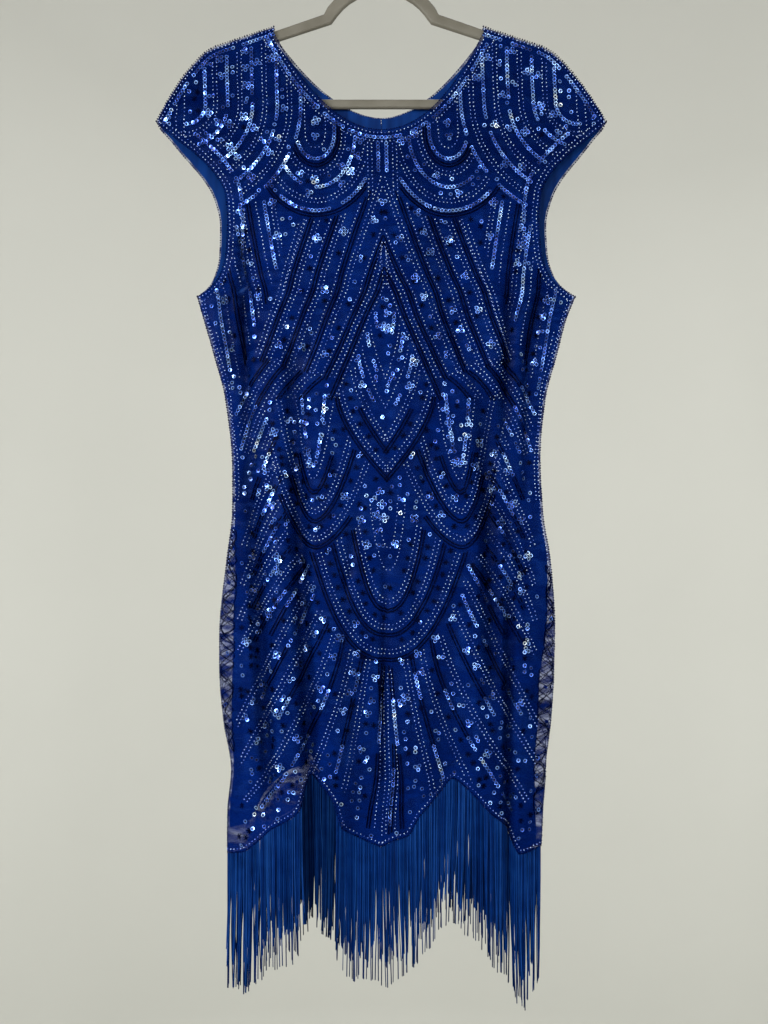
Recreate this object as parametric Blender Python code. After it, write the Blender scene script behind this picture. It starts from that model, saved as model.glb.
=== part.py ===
"""A beaded flapper dress hanging on its hanger.

The origin is the inside top of the hook's bend. +Z is up and the front faces -Y.
Heights are given as drops below the origin, in millimetres, and a point's place
across is measured from the middle of the hanger, positive to the wearer's left.

The dress has a net front and back with the cap sleeves cut in one, a shorter and
narrower slip lining, and a fringe whose header follows the scalloped hem. Every
wall is worked out from one rule: how far the cloth stands off the hanger's plane
at a place across and a drop.
"""

import math
from collections import namedtuple

import bmesh
import bpy
from mathutils import Vector

MM = 0.001

# ---------------------------------------------------------------- driving sizes, mm

SEAM_GAP = 0.3          # between front and back, at the shoulders and down the sides
FOLD_OVER = 7.2         # radius of the cloth where it bends over the hanger's arm
SETTLE = 80.0           # fall below the shoulder over which the cloth takes the body's depth
ROUNDNESS = 3.0         # power of the section across: flat in the middle, falling to the sides
BACK_SHARE = 0.85       # the back hangs this much as deep as the front

NECK_OUT = 115.0        # half width of the neck at the shoulder seams
NECK_TOP = 121.0        # drop of the shoulder seam's inner end
FRONT_NECK = 238.0      # drop of the front neck's lowest point
BACK_NECK = 216.5       # drop of the back neck's lowest point
FRONT_NECK_POWER = 2.05 # the neck's curve: 2 is a parabola
BACK_NECK_POWER = 1.85
SHOULDER_SLOPE = 0.336  # fall per mm across, along the hanger's arm
ARM_END = 180.0         # place across where the straight shoulder ends
CAP_OUT = 247.0         # place across of the cap sleeve's tip
CAP_DROP = 225.0        # drop of the cap sleeve's tip
UNDERARM = 417.0        # drop of the underarm corner
SLIT_WIDTH = 1.8        # slit at the centre back of the neck
SLIT_END = 322.0        # drop where the slit ends

# The cap sleeve's upper edge, from the end of the straight shoulder to its tip.
Cap = namedtuple("Cap", "out drop")
CAP = [
    Cap(ARM_END, NECK_TOP + SHOULDER_SLOPE * (ARM_END - NECK_OUT)),
    Cap(190, 148.5),
    Cap(199, 156.5),
    Cap(217, 177.5),
    Cap(232, 199.5),
    Cap(CAP_OUT, CAP_DROP),
]

# Half widths from the shoulder to the underarm, and how far the dress leans sideways.
Armhole = namedtuple("Armhole", "drop front back lean")
ARMHOLE = [
    Armhole(NECK_TOP, CAP_OUT, CAP_OUT, -3.0),
    Armhole(175, CAP_OUT, CAP_OUT, -2.0),
    Armhole(CAP_DROP, CAP_OUT, CAP_OUT, 0.0),
    Armhole(243, 229, 234, 0.5),
    Armhole(264, 203, 217, 1.0),
    Armhole(285, 183.5, 199.5, 1.5),
    Armhole(305, 173, 188, 2.0),
    Armhole(335, 170, 181, 2.0),
    Armhole(370, 172.5, 182, 2.5),
    Armhole(397, 182, 189, 3.5),
    Armhole(410, 197, 199, 5.0),
    Armhole(UNDERARM, 208, 208, 5.5),
]

# Half widths down the side seams, and the lining's distance inside the net's edge.
Side = namedtuple("Side", "drop half lean inset")
SIDES = [
    Side(UNDERARM, 208, 5.5, 6),
    Side(445, 198.5, 4, 6),
    Side(480, 189, 4.5, 6),
    Side(530, 176, 4.5, 6),
    Side(600, 169.5, 5.5, 6),
    Side(655, 171, 7, 9),
    Side(705, 178, 8, 14),
    Side(785, 184.5, 6.5, 18),
    Side(830, 184, 6, 18),
    Side(880, 180.5, 6.5, 16),
    Side(937, 173, 8, 11),
    Side(980, 173.5, 4.5, 11),
    Side(1035, 172.5, 3, 11),
]

# How far the front stands off the hanger's plane, in the middle and at the free edge.
Depth = namedtuple("Depth", "drop middle edge")
DEPTHS = [
    Depth(NECK_TOP, 8, 7.2),
    Depth(200, 12, 7.2),
    Depth(250, 16, 7.0),
    Depth(300, 19.5, 9.0),
    Depth(340, 22, 11.0),
    Depth(380, 23.5, 7.5),
    Depth(402, 24, 4.0),
    Depth(UNDERARM, 24, 0.0),
    Depth(500, 23.5, 0.0),
    Depth(600, 20, 0.0),
    Depth(700, 24, 0.0),
    Depth(830, 28, 0.0),
    Depth(1035, 30, 0.0),
]

# The long soft folds: where each lies, its half width and how far it sinks or stands.
Fold = namedtuple("Fold", "across start end half_width sink")
FRONT_FOLDS = [
    Fold(-88, 470, 800, 17, 5.0),
    Fold(-56, 520, 860, 18, -2.5),
    Fold(-128, 690, 1150, 17, 5.0),
    Fold(-98, 740, 1200, 16, -2.5),
    Fold(-134, 400, 560, 17, 3.0),
    Fold(136, 560, 1080, 17, 5.0),
    Fold(104, 600, 1150, 17, -2.5),
    Fold(66, 800, 1300, 20, 3.5),
    Fold(126, 390, 560, 18, 3.0),
    Fold(-44, 780, 1300, 20, 3.5),
    Fold(12, 820, 1300, 24, -2.5),
    Fold(60, 270, 520, 22, 2.5),
]
BACK_FOLDS = [
    Fold(-118, 520, 930, 17, 4.5),
    Fold(-86, 560, 980, 18, -2.5),
    Fold(92, 480, 820, 17, 4.5),
    Fold(60, 540, 880, 18, -2.5),
    Fold(128, 700, 1150, 17, 4.5),
    Fold(96, 760, 1250, 17, -2.0),
    Fold(-56, 800, 1300, 20, 3.0),
    Fold(-130, 800, 1200, 17, 3.0),
    Fold(24, 700, 1300, 22, 2.5),
    Fold(-130, 400, 560, 17, 3.0),
]

# The scalloped hem on each side of the middle: two short peaks and three long tongues.
Hem = namedtuple("Hem", "out left right")
HEM = [
    Hem(0, 1013, 1013),
    Hem(13, 1008, 1006),
    Hem(29, 1002, 1001),
    Hem(42, 995, 980),
    Hem(53, 964, 968),
    Hem(66, 947, 953),
    Hem(77, 939, 941),
    Hem(88, 976, 948),
    Hem(102, 988, 962),
    Hem(118, 997, 980),
    Hem(134, 1012, 994),
    Hem(151, 1025, 1027),
    Hem(180, 1030, 1019),
]

# A layer of cloth: its wall, how far it lies under the net's outer face where it bends
# over the hanger, how much further it hangs free below, its edges and its hem.
Layer = namedtuple("Layer", "wall under slack neck_inset armhole_inset short")
NET = Layer(1.2, 0.0, 0.0, 0.0, 0.0, 0.0)
LINING = Layer(1.0, 1.6, 2.6, 2.5, 2.5, 34.0)

# Rows of the cloth's grid: bend over the shoulder, fall to the yoke, body, hem.
BEND_ANGLES = (0, 30, 60, 90)
YOKE = 262.0
NET_YOKE_SHARES = (0.15, 0.4, 0.7)
NET_DROPS = (YOKE, 278, 297, SLIT_END, 352, 380, 400, UNDERARM, 436, 468, 512, 560, 608,
             658, 712, 768, 828, 884, 922)
NET_HEM_SHARES = (0.4, 0.75, 1.0)
LINING_YOKE_SHARES = (0.25, 0.6)
LINING_DROPS = (YOKE, 290, SLIT_END, 365, 398, UNDERARM, 440, 500, 570, 640, 720, 800, 880)
LINING_HEM_SHARES = (0.5, 1.0)
HEM_PASSES = 4          # the hem's drop and place across depend on each other

# Columns of the grid on one side of the middle, as places across at the shoulder. The
# neck's end and the cap's tip stand at NECK_OUT and CAP_OUT, less a layer's insets.
NET_COLUMNS = (22, 44, 64, 82, 99, NECK_OUT, 136, 158, ARM_END, 199, 217, 232, CAP_OUT)
LINING_COLUMNS = (32, 62, 90, NECK_OUT, 147, ARM_END, 199, 217, 232, CAP_OUT)

# The fringe: a header under the hem, and locks that hang from it.
LOCKS = 78
LOCK_SHARE = 0.78       # share of its pitch that a lock takes at the root
LOCK_TIP_SHARE = 0.42   # and at the tip
HEADER_GAP = 0.8        # below the net's hem
HEADER_HEIGHT = 4.0
FRINGE_WALL = 1.2
Length = namedtuple("Length", "out left right")
FRINGE_LENGTHS = [
    Length(0, 144, 144),
    Length(78, 153, 150),
    Length(118, 147, 155),
    Length(150, 147, 165),
    Length(180, 146, 131),
]

# The hanger: an arch over the neck, two arms, round ends and a bar.
ARM_WIDTH = 11.0
BAR_WIDTH = 10.4
ARCH_WIDTH = 14.6
ARM_THICKNESS = 6.4
ARM_TOP_HALF = 1.1      # half width of the flat on the arm's top edge
ARM_CHAMFER = 1.7       # fall of the chamfer beside it
ARM_BELOW = 4.2         # from the shoulder line down to the arm's top edge
BAR_DROP = 205.5        # middle of the bar
ARCH_DROP = 143.4       # centre of the arch
ARCH_RADIUS = 66.7      # middle of the arch's bar
CROWN_RISE = 7.4        # the arch thickens by this at its top, under the hook
CROWN_SPREAD = 24.0     # degrees either side over which it thickens
END_OUT = 158.0         # centre of the hanger's round ends

# The hook: a straight stem, a small bend and a loop about the origin's rod.
WIRE = 3.4
LOOP_INSIDE = 18.0
STEM_BEND = 8.0
HOOK_TIP_ANGLE = 205.0

NET_BLUE = (0.006, 0.016, 0.090, 1.0)
LINING_BLUE = (0.008, 0.034, 0.135, 1.0)
FRINGE_BLUE = (0.005, 0.030, 0.125, 1.0)
HANGER_GREY = (0.22, 0.20, 0.155, 1.0)
STEEL = (0.56, 0.56, 0.57, 1.0)


# ---------------------------------------------------------------- reading the tables

def read(rows, column, at):
    """Value of a column at a place between rows, straight from row to row."""
    key = rows[0]._fields[0]
    for low, high in zip(rows, rows[1:]):
        start = getattr(low, key)
        end = getattr(high, key)
        if at <= end:
            share = max(0.0, (at - start) / (end - start))
            return getattr(low, column) * (1 - share) + getattr(high, column) * share
    return getattr(rows[-1], column)


def read_smooth(rows, column, at):
    """Value of a column between rows on a smooth curve that never overshoots a row."""
    key = rows[0]._fields[0]
    places = [getattr(row, key) for row in rows]
    values = [getattr(row, column) for row in rows]
    at = min(max(at, places[0]), places[-1])
    index = max(i for i in range(len(rows) - 1) if places[i] <= at)
    rises = [(b - a) / (q - p) for a, b, p, q in zip(values, values[1:], places, places[1:])]

    def tangent(i):
        if i == 0 or i == len(rows) - 1:
            return rises[min(i, len(rises) - 1)]
        before, after = rises[i - 1], rises[i]
        if before * after <= 0:
            return 0.0
        return 2 * before * after / (before + after)

    span = places[index + 1] - places[index]
    t = (at - places[index]) / span
    return (values[index] * (1 + 2 * t) * (1 - t) ** 2
            + tangent(index) * span * t * (1 - t) ** 2
            + values[index + 1] * t * t * (3 - 2 * t)
            - tangent(index + 1) * span * t * t * (1 - t))


def ease(t):
    """0 to 1 with soft ends."""
    t = min(max(t, 0.0), 1.0)
    return t * t * (3 - 2 * t)


# ---------------------------------------------------------------- the garment's outline

def shoulder_drop(out):
    """Drop of the shoulder line, the cap's upper edge included."""
    if out <= ARM_END:
        return NECK_TOP + SHOULDER_SLOPE * (out - NECK_OUT)
    return read_smooth(CAP, "drop", out)


def shoulder_tilt(out):
    """Angle below level of the shoulder line."""
    return math.atan(shoulder_drop(out + 0.5) - shoulder_drop(out - 0.5))


def below_shoulder(across, drop):
    """How far a place lies below the shoulder line, square to it."""
    out = abs(across)
    return (drop - shoulder_drop(out)) * math.cos(shoulder_tilt(out))


def neck_drop(out, face):
    """Drop of the neck's edge: a scoop from seam to seam."""
    lowest, power = FRONT_NECK, FRONT_NECK_POWER
    if face == "back":
        lowest, power = BACK_NECK, BACK_NECK_POWER
    return lowest - (lowest - NECK_TOP - FOLD_OVER) * (out / NECK_OUT) ** power


def half_width(drop, face, layer):
    """Half width of a panel, at the cap, along the armhole or down the side."""
    if drop < UNDERARM:
        return read_smooth(ARMHOLE, face, drop) - layer.armhole_inset
    inset = read_smooth(SIDES, "inset", drop) if layer.armhole_inset else 0.0
    return read_smooth(SIDES, "half", drop) - inset


def lean(drop):
    """How far the middle of the dress lies to the side at a drop."""
    if drop < UNDERARM:
        return read_smooth(ARMHOLE, "lean", drop)
    return read_smooth(SIDES, "lean", drop)


def hem_drop(across):
    """Drop of the net's scalloped hem."""
    return read(HEM, "left" if across < 0 else "right", abs(across))


def fold_depth(across, drop, face):
    """How far the folds push the cloth out at a place."""
    push = 0.0
    for fold in FRONT_FOLDS if face == "front" else BACK_FOLDS:
        length = (drop - fold.start) / (fold.end - fold.start)
        if 0 < length < 1:
            beside = (across - fold.across) / fold.half_width
            push -= fold.sink * math.exp(-beside * beside) * math.sin(math.pi * length) ** 0.7
    return push


def stand_off(share, across, drop, face, layer):
    """Distance of a layer's outer face from the seam plane, below the bend."""
    fall = ease((below_shoulder(across, drop) - FOLD_OVER) / SETTLE)
    under = layer.under + layer.slack * fall
    middle = read_smooth(DEPTHS, "middle", drop) * (1 if face == "front" else BACK_SHARE)
    edge = max(read_smooth(DEPTHS, "edge", drop) - under, layer.wall)
    across_shape = 1 - abs(share) ** ROUNDNESS
    body = edge + (middle - under - edge) * across_shape
    body += fold_depth(across, drop, face) * (1 - share ** 4) * across_shape ** 0.5
    return (FOLD_OVER - layer.under) * (1 - fall) + body * fall


# ---------------------------------------------------------------- cloth walls

def cloth_point(across, drop, off, face):
    """A point in metres, off the seam plane to the front or the back."""
    side = -1 if face == "front" else 1
    return Vector((across, side * (SEAM_GAP / 2 + off), -drop)) * MM


def placed_column(column, layer):
    """Place across of a column at a layer's own shoulder edge."""
    if column == NECK_OUT:
        return NECK_OUT + layer.neck_inset
    if column == CAP_OUT:
        return CAP_OUT - layer.armhole_inset
    return column


def bend_points(out, side, depth, face):
    """Points over the shoulder, square to its line, from the seam to the level face."""
    tilt = shoulder_tilt(out)
    centre_out = out - FOLD_OVER * math.sin(tilt)
    centre_drop = shoulder_drop(out) + FOLD_OVER * math.cos(tilt)
    points = []
    for angle in BEND_ANGLES:
        rise = (FOLD_OVER - depth) * math.cos(math.radians(angle))
        drop = centre_drop - rise * math.cos(tilt)
        across = lean(drop) + side * (centre_out + rise * math.sin(tilt))
        off = (FOLD_OVER - depth) * math.sin(math.radians(angle))
        points.append(cloth_point(across, drop, off, face))
    return points


def column_points(column, side, face, layer, rows):
    """The outer and inner points of one column, from its top edge to the hem."""
    out = placed_column(column, layer)
    share = side * out / (CAP_OUT - layer.armhole_inset)
    if column >= NECK_OUT:
        outer = bend_points(out, side, layer.under, face)
        inner = bend_points(out, side, layer.under + layer.wall, face)
        first = -outer[-1].z / MM
        drops = []
    else:
        outer = [None] * (len(BEND_ANGLES) - 1)
        inner = list(outer)
        reach = out * NECK_OUT / (NECK_OUT + layer.neck_inset)
        first = neck_drop(reach, face) + layer.neck_inset
        drops = [first]
    drops += [first + (rows.drops[0] - first) * part for part in rows.yoke]
    drops += rows.drops
    last = rows.drops[-1]
    hem = HEM[0].left
    for _ in range(HEM_PASSES):
        hem = hem_drop(lean(hem) + share * half_width(hem, face, layer))
    drops += [last + (hem - layer.short - last) * part for part in rows.hem]
    for drop in drops:
        across = lean(drop) + share * half_width(drop, face, layer)
        off = stand_off(share, across, drop, face, layer)
        outer.append(cloth_point(across, drop, off, face))
        inner.append(cloth_point(across, drop, off - layer.wall, face))
    return outer, inner


Rows = namedtuple("Rows", "yoke drops hem")
NET_ROWS = Rows(NET_YOKE_SHARES, NET_DROPS, NET_HEM_SHARES)
LINING_ROWS = Rows(LINING_YOKE_SHARES, LINING_DROPS, LINING_HEM_SHARES)


def mirrored(columns, face):
    """Columns and their sides, from one edge to the other; two stand beside the slit."""
    middle = [(0.0, 1)] if face == "front" else [(SLIT_WIDTH / 2, -1), (SLIT_WIDTH / 2, 1)]
    return [(out, -1) for out in reversed(columns)] + middle + [(out, 1) for out in columns]


def wall_object(name, grid_outer, grid_inner, missing, material):
    """A closed wall between two grids of points, without the cells named in missing."""
    model = bmesh.new()
    corners = {}

    def corner(layer, column, row):
        key = (layer, column, row)
        if key not in corners:
            grid = grid_outer if layer == "outer" else grid_inner
            corners[key] = model.verts.new(grid[column][row])
        return corners[key]

    def face(*keys):
        model.faces.new([corner(*key) for key in keys])

    columns = len(grid_outer) - 1
    rows = len(grid_outer[0]) - 1
    cells = {(c, r) for c in range(columns) for r in range(rows)} - missing
    for c, r in sorted(cells):
        around = [(c, r), (c + 1, r), (c + 1, r + 1), (c, r + 1)]
        if c >= columns / 2:
            around = around[1:] + around[:1]
        for layer in ("outer", "inner"):
            face(*[(layer, *around[i]) for i in (0, 1, 2)])
            face(*[(layer, *around[i]) for i in (0, 2, 3)])
        for (beside_c, beside_r), start, end in (
                ((c, r - 1), (c, r), (c + 1, r)),
                ((c, r + 1), (c, r + 1), (c + 1, r + 1)),
                ((c - 1, r), (c, r), (c, r + 1)),
                ((c + 1, r), (c + 1, r), (c + 1, r + 1))):
            if (beside_c, beside_r) not in cells:
                face(("outer", *start), ("outer", *end), ("inner", *end))
                face(("outer", *start), ("inner", *end), ("inner", *start))
    return finished(name, model, material)


def finished(name, model, material):
    """Turns the faces outwards and links the mesh as a named object."""
    bmesh.ops.recalc_face_normals(model, faces=model.faces)
    mesh = bpy.data.meshes.new(name)
    model.to_mesh(mesh)
    model.free()
    mesh.materials.append(material)
    mesh.shade_smooth()
    mesh.set_sharp_from_angle(angle=math.radians(40))
    placed = bpy.data.objects.new(name, mesh)
    bpy.context.scene.collection.objects.link(placed)
    return placed


def panel(name, face, layer, columns, rows, material):
    """One cloth panel; returns its object and its outer grid."""
    places = mirrored(columns, face)
    grid_outer, grid_inner = [], []
    for column, side in places:
        outer, inner = column_points(column, side, face, layer, rows)
        grid_outer.append(outer)
        grid_inner.append(inner)
    bend_rows = len(BEND_ANGLES) - 1
    slit_rows = bend_rows + 1 + len(rows.yoke) + rows.drops.index(SLIT_END)
    missing = set()
    for c, (left, right) in enumerate(zip(places, places[1:])):
        if max(left[0], right[0]) <= NECK_OUT:
            missing |= {(c, r) for r in range(bend_rows)}
        if left == (SLIT_WIDTH / 2, -1):
            missing |= {(c, r) for r in range(slit_rows)}
    return wall_object(name, grid_outer, grid_inner, missing, material), grid_outer


# ---------------------------------------------------------------- fringe

def edge_point(edge, across):
    """Point on a panel's hem line at a place across, in mm: across, off, drop."""
    for low, high in zip(edge, edge[1:]):
        if across <= high[0]:
            share = max(0.0, (across - low[0]) / (high[0] - low[0]))
            return [a * (1 - share) + b * share for a, b in zip(low, high)]
    return edge[-1]


def header_tops(hem, stations):
    """Drops of the header's top edge, clear of each corner of the hem between stations."""
    tops = [edge_point(hem, across)[2] + HEADER_GAP for across in stations]
    for across, _, drop in hem[1:-1]:
        index = max(i for i in range(len(stations) - 1) if stations[i] <= across)
        share = (across - stations[index]) / (stations[index + 1] - stations[index])
        chord = tops[index] * (1 - share) + tops[index + 1] * share
        short = max(0.0, drop + HEADER_GAP - chord)
        tops[index] += short
        tops[index + 1] += short
    return tops


def lock_lean(across, length_share):
    """Sideways drift of the locks: neighbours drift together and never cross."""
    return 2.4 * length_share ** 1.6 * math.sin(across / 19.0 + 0.6)


def fringe(name, face, net_grid, material):
    """A header under the hem, with every second cell drawn down into a lock."""
    side = -1 if face == "front" else 1
    hem = [[p[-1].x / MM, side * p[-1].y / MM, -p[-1].z / MM] for p in net_grid]
    left, right = hem[0][0], hem[-1][0]
    pitch = (right - left) / LOCKS
    stations = []
    for lock in range(LOCKS):
        margin = pitch * (1 - LOCK_SHARE) / 2
        stations += [left + lock * pitch + margin, left + (lock + 1) * pitch - margin]

    model = bmesh.new()

    def corner(across, off, drop):
        return model.verts.new(Vector((across, side * off, -drop)) * MM)

    def ring(across, top):
        off = edge_point(hem, across)[1]
        inside = off - FRINGE_WALL
        return [corner(across, off, top), corner(across, inside, top),
                corner(across, inside, top + HEADER_HEIGHT),
                corner(across, off, top + HEADER_HEIGHT)]

    rings = [ring(across, top) for across, top in zip(stations, header_tops(hem, stations))]
    model.faces.new(rings[0])
    model.faces.new(rings[-1])
    for index, (a, b) in enumerate(zip(rings, rings[1:])):
        for low, high in ((0, 1), (1, 2), (3, 0)):
            model.faces.new((a[low], a[high], b[high], b[low]))
        if index % 2:
            model.faces.new((a[2], a[3], b[3], b[2]))
            continue
        middle = (stations[index] + stations[index + 1]) / 2
        side_name = "left" if middle < 0 else "right"
        length = read(FRINGE_LENGTHS, side_name, abs(middle))
        length += 4.5 * math.sin(index * 1.21) + 2.5 * math.sin(index * 2.9 + 1)
        _, off, drop = edge_point(hem, middle)
        root = [a[2], a[3], b[3], b[2]]
        for part in (0.5, 1.0):
            half = pitch / 2 * (LOCK_SHARE + (LOCK_TIP_SHARE - LOCK_SHARE) * part)
            across = middle + lock_lean(middle, part)
            low = drop + HEADER_GAP + HEADER_HEIGHT + (length - HEADER_HEIGHT) * part
            tip = [corner(across - half, off - FRINGE_WALL, low),
                   corner(across - half, off, low),
                   corner(across + half, off, low),
                   corner(across + half, off - FRINGE_WALL, low)]
            for i in range(4):
                model.faces.new((root[i], root[(i + 1) % 4], tip[(i + 1) % 4], tip[i]))
            root = tip
        model.faces.new(root)
    bmesh.ops.triangulate(model, faces=model.faces)
    return finished(name, model, material)


# ---------------------------------------------------------------- hanger and hook

def arc(centre, radius, start, end, steps):
    """Points across and down on an arc; angles in degrees, 0 across and 90 up."""
    angles = [math.radians(start + (end - start) * i / steps) for i in range(steps + 1)]
    return [(centre[0] + radius * math.cos(a), centre[1] - radius * math.sin(a)) for a in angles]


def hanger_route():
    """Middle line of the hanger's right half from bar to arch top: across, down, width."""
    tilt = math.atan(SHOULDER_SLOPE)
    to_middle = ARM_BELOW + ARM_WIDTH / 2 / math.cos(tilt)
    arm_at_end = shoulder_drop(END_OUT) + to_middle
    radius = (BAR_DROP - arm_at_end) / (1 + 1 / math.cos(tilt))
    route = [(0.0, BAR_DROP, BAR_WIDTH), (END_OUT / 2, BAR_DROP, BAR_WIDTH)]
    turns = arc((END_OUT, BAR_DROP - radius), radius, -90, 90 - math.degrees(tilt), 9)
    for index, (across, down) in enumerate(turns):
        share = index / (len(turns) - 1)
        route.append((across, down, BAR_WIDTH * (1 - share) + ARM_WIDTH * share))
    meet = 0.0
    while ARCH_DROP - ARCH_RADIUS * math.sin(meet) > (
            shoulder_drop(ARCH_RADIUS * math.cos(meet)) + to_middle):
        meet += math.radians(0.1)
    kink = arc((0, ARCH_DROP), ARCH_RADIUS, math.degrees(meet), 90, 7)
    last = route[-1]
    route.append(((last[0] + kink[0][0]) / 2, (last[1] + kink[0][1]) / 2, ARM_WIDTH))
    kink_width = (ARM_WIDTH + ARCH_WIDTH) / 2
    return route + [(*kink[0], kink_width)] + [(*place, ARCH_WIDTH) for place in kink[1:]]


def sweep(name, stations, material, closed):
    """Joins rings of points, one a station, into a closed body."""
    model = bmesh.new()
    rings = [[model.verts.new(point * MM) for point in ring] for ring in stations]
    count = len(rings[0])
    for index in range(len(rings) if closed else len(rings) - 1):
        a, b = rings[index], rings[(index + 1) % len(rings)]
        for i in range(count):
            model.faces.new((a[i], a[(i + 1) % count], b[(i + 1) % count], b[i]))
    if not closed:
        model.faces.new(rings[0])
        model.faces.new(rings[-1])
    return finished(name, model, material)


def hanger(material):
    """The moulded hanger: one chamfered bar led round its closed middle line."""
    right = hanger_route()
    route = right[:-1] + [(-across, down, width) for across, down, width in right[:0:-1]]
    stations = []
    count = len(route)
    for index, (across, down, width) in enumerate(route):
        before = Vector(route[index - 1][:2])
        after = Vector(route[(index + 1) % count][:2])
        here = Vector((across, down))
        into = (here - before).normalized()
        onward = (after - here).normalized()
        along = (into + onward).normalized()
        outwards = Vector((-along.y, along.x))
        reach = width / 2 / along.dot(into)
        angle = math.degrees(math.atan2(abs(across), ARCH_DROP - down))
        on_arch = down < ARCH_DROP and angle < CROWN_SPREAD
        crown = CROWN_RISE * ease(1 - angle / CROWN_SPREAD) if on_arch else 0.0
        half = ARM_THICKNESS / 2
        ring = []
        for level, depth in ((1, ARM_TOP_HALF), (1 - ARM_CHAMFER / reach, half),
                             (-1 + ARM_CHAMFER / reach, half), (-1, ARM_TOP_HALF)):
            rise = crown if level > 0 else 0.0
            place = here + outwards * (reach * level + rise)
            ring.append((place, depth))
        full = [Vector((p.x, -depth, -p.y)) for p, depth in ring]
        full += [Vector((p.x, depth, -p.y)) for p, depth in reversed(ring)]
        stations.append(full)
    return sweep("hanger", stations, material, closed=True)


def hanger_hook(material):
    """The wire hook: stem, small bend and loop; the origin is inside its top."""
    radius = LOOP_INSIDE + WIRE / 2
    loop_centre = (0.0, LOOP_INSIDE)
    reach = radius + STEM_BEND
    bend_centre = (STEM_BEND, LOOP_INSIDE + math.sqrt(reach ** 2 - STEM_BEND ** 2))
    meet = math.degrees(math.atan2(bend_centre[1] - LOOP_INSIDE, STEM_BEND))
    crown_top = ARCH_DROP - ARCH_RADIUS - ARCH_WIDTH / 2 - CROWN_RISE
    route = [(0.0, crown_top - SEAM_GAP)]
    route += arc(bend_centre, STEM_BEND, 180, 180 - meet, 4)
    route += arc(loop_centre, radius, -meet, HOOK_TIP_ANGLE, 24)[1:]
    stations = []
    for index, (across, down) in enumerate(route):
        before = Vector(route[max(index - 1, 0)])
        after = Vector(route[min(index + 1, len(route) - 1)])
        along = (after - before).normalized()
        beside = Vector((-along.y, along.x))
        ring = []
        for step in range(8):
            angle = math.radians(45 * step)
            place = Vector((across, down)) + beside * (WIRE / 2 * math.cos(angle))
            ring.append(Vector((place.x, WIRE / 2 * math.sin(angle), -place.y)))
        stations.append(ring)
    return sweep("hanger_hook", stations, material, closed=False)


# ---------------------------------------------------------------- materials and assembly

def make_material(name, colour, roughness, metallic=0.0):
    material = bpy.data.materials.new(name)
    material.use_nodes = True
    shader = material.node_tree.nodes["Principled BSDF"]
    shader.inputs["Base Color"].default_value = colour
    shader.inputs["Roughness"].default_value = roughness
    shader.inputs["Metallic"].default_value = metallic
    return material


def main():
    for old in list(bpy.data.objects):
        bpy.data.objects.remove(old, do_unlink=True)
    net = make_material("beaded_net", NET_BLUE, 0.45)
    lining = make_material("lining_cloth", LINING_BLUE, 0.5)
    strands = make_material("fringe_strands", FRINGE_BLUE, 0.45)
    plastic = make_material("hanger_plastic", HANGER_GREY, 0.55)
    steel = make_material("hook_steel", STEEL, 0.3, metallic=1.0)
    holder = bpy.data.objects.new("dress_on_hanger", None)
    bpy.context.scene.collection.objects.link(holder)
    pieces = []
    for face in ("front", "back"):
        net_panel, net_grid = panel(face, face, NET, NET_COLUMNS, NET_ROWS, net)
        lining_panel, _ = panel("lining_" + face, face, LINING, LINING_COLUMNS, LINING_ROWS,
                                lining)
        pieces += [net_panel, lining_panel, fringe("fringe_" + face, face, net_grid, strands)]
    pieces += [hanger(plastic), hanger_hook(steel)]
    for piece in pieces:
        piece.parent = holder


main()
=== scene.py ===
# %% [markdown]
# # A beaded flapper dress on its hanger
# The dress is blue net sewn with beads and sequins over a blue slip, with a long
# fringe along its scalloped hem. It hangs flat on a moulded hanger. The frame loaded
# here holds the plain solids; every visible piece is made finer on their form.

# %% Load the fixed frame
import math
from collections import namedtuple

import bmesh
import bpy
import numpy as np
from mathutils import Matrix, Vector


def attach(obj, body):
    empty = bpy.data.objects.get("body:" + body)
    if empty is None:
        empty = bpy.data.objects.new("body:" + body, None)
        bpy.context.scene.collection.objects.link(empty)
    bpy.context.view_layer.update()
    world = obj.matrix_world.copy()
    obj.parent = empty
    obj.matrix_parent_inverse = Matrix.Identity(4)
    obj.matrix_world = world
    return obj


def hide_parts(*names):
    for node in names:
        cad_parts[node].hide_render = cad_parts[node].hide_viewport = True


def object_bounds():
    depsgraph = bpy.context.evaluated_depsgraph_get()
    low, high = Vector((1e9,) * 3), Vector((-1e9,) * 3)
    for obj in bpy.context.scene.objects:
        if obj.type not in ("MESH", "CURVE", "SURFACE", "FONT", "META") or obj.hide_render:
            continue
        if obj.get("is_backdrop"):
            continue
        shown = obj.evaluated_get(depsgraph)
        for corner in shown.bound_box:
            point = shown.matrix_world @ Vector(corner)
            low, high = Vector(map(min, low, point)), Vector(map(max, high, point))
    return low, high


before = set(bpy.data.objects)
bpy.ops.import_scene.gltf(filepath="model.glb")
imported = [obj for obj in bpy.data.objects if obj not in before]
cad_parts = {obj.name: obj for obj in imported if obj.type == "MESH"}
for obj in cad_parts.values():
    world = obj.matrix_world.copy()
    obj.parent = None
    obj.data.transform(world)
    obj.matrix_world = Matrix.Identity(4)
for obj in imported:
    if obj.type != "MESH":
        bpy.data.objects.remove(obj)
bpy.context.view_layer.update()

MM = 0.001
print("frame nodes:", ", ".join(sorted(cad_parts)))

# %% [markdown]
# ## Camera
# A dress on a wall hook is seen square on, from a little over a metre away. The lens
# is a plain one, and its height is the middle of the cloth, so nothing leans.

# %% Camera
CAMERA_ACROSS, CAMERA_AWAY, CAMERA_DROP = 0.003, 1.2, 0.6538
SENSOR_WIDTH, LENS = 36.0, 38.35

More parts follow.
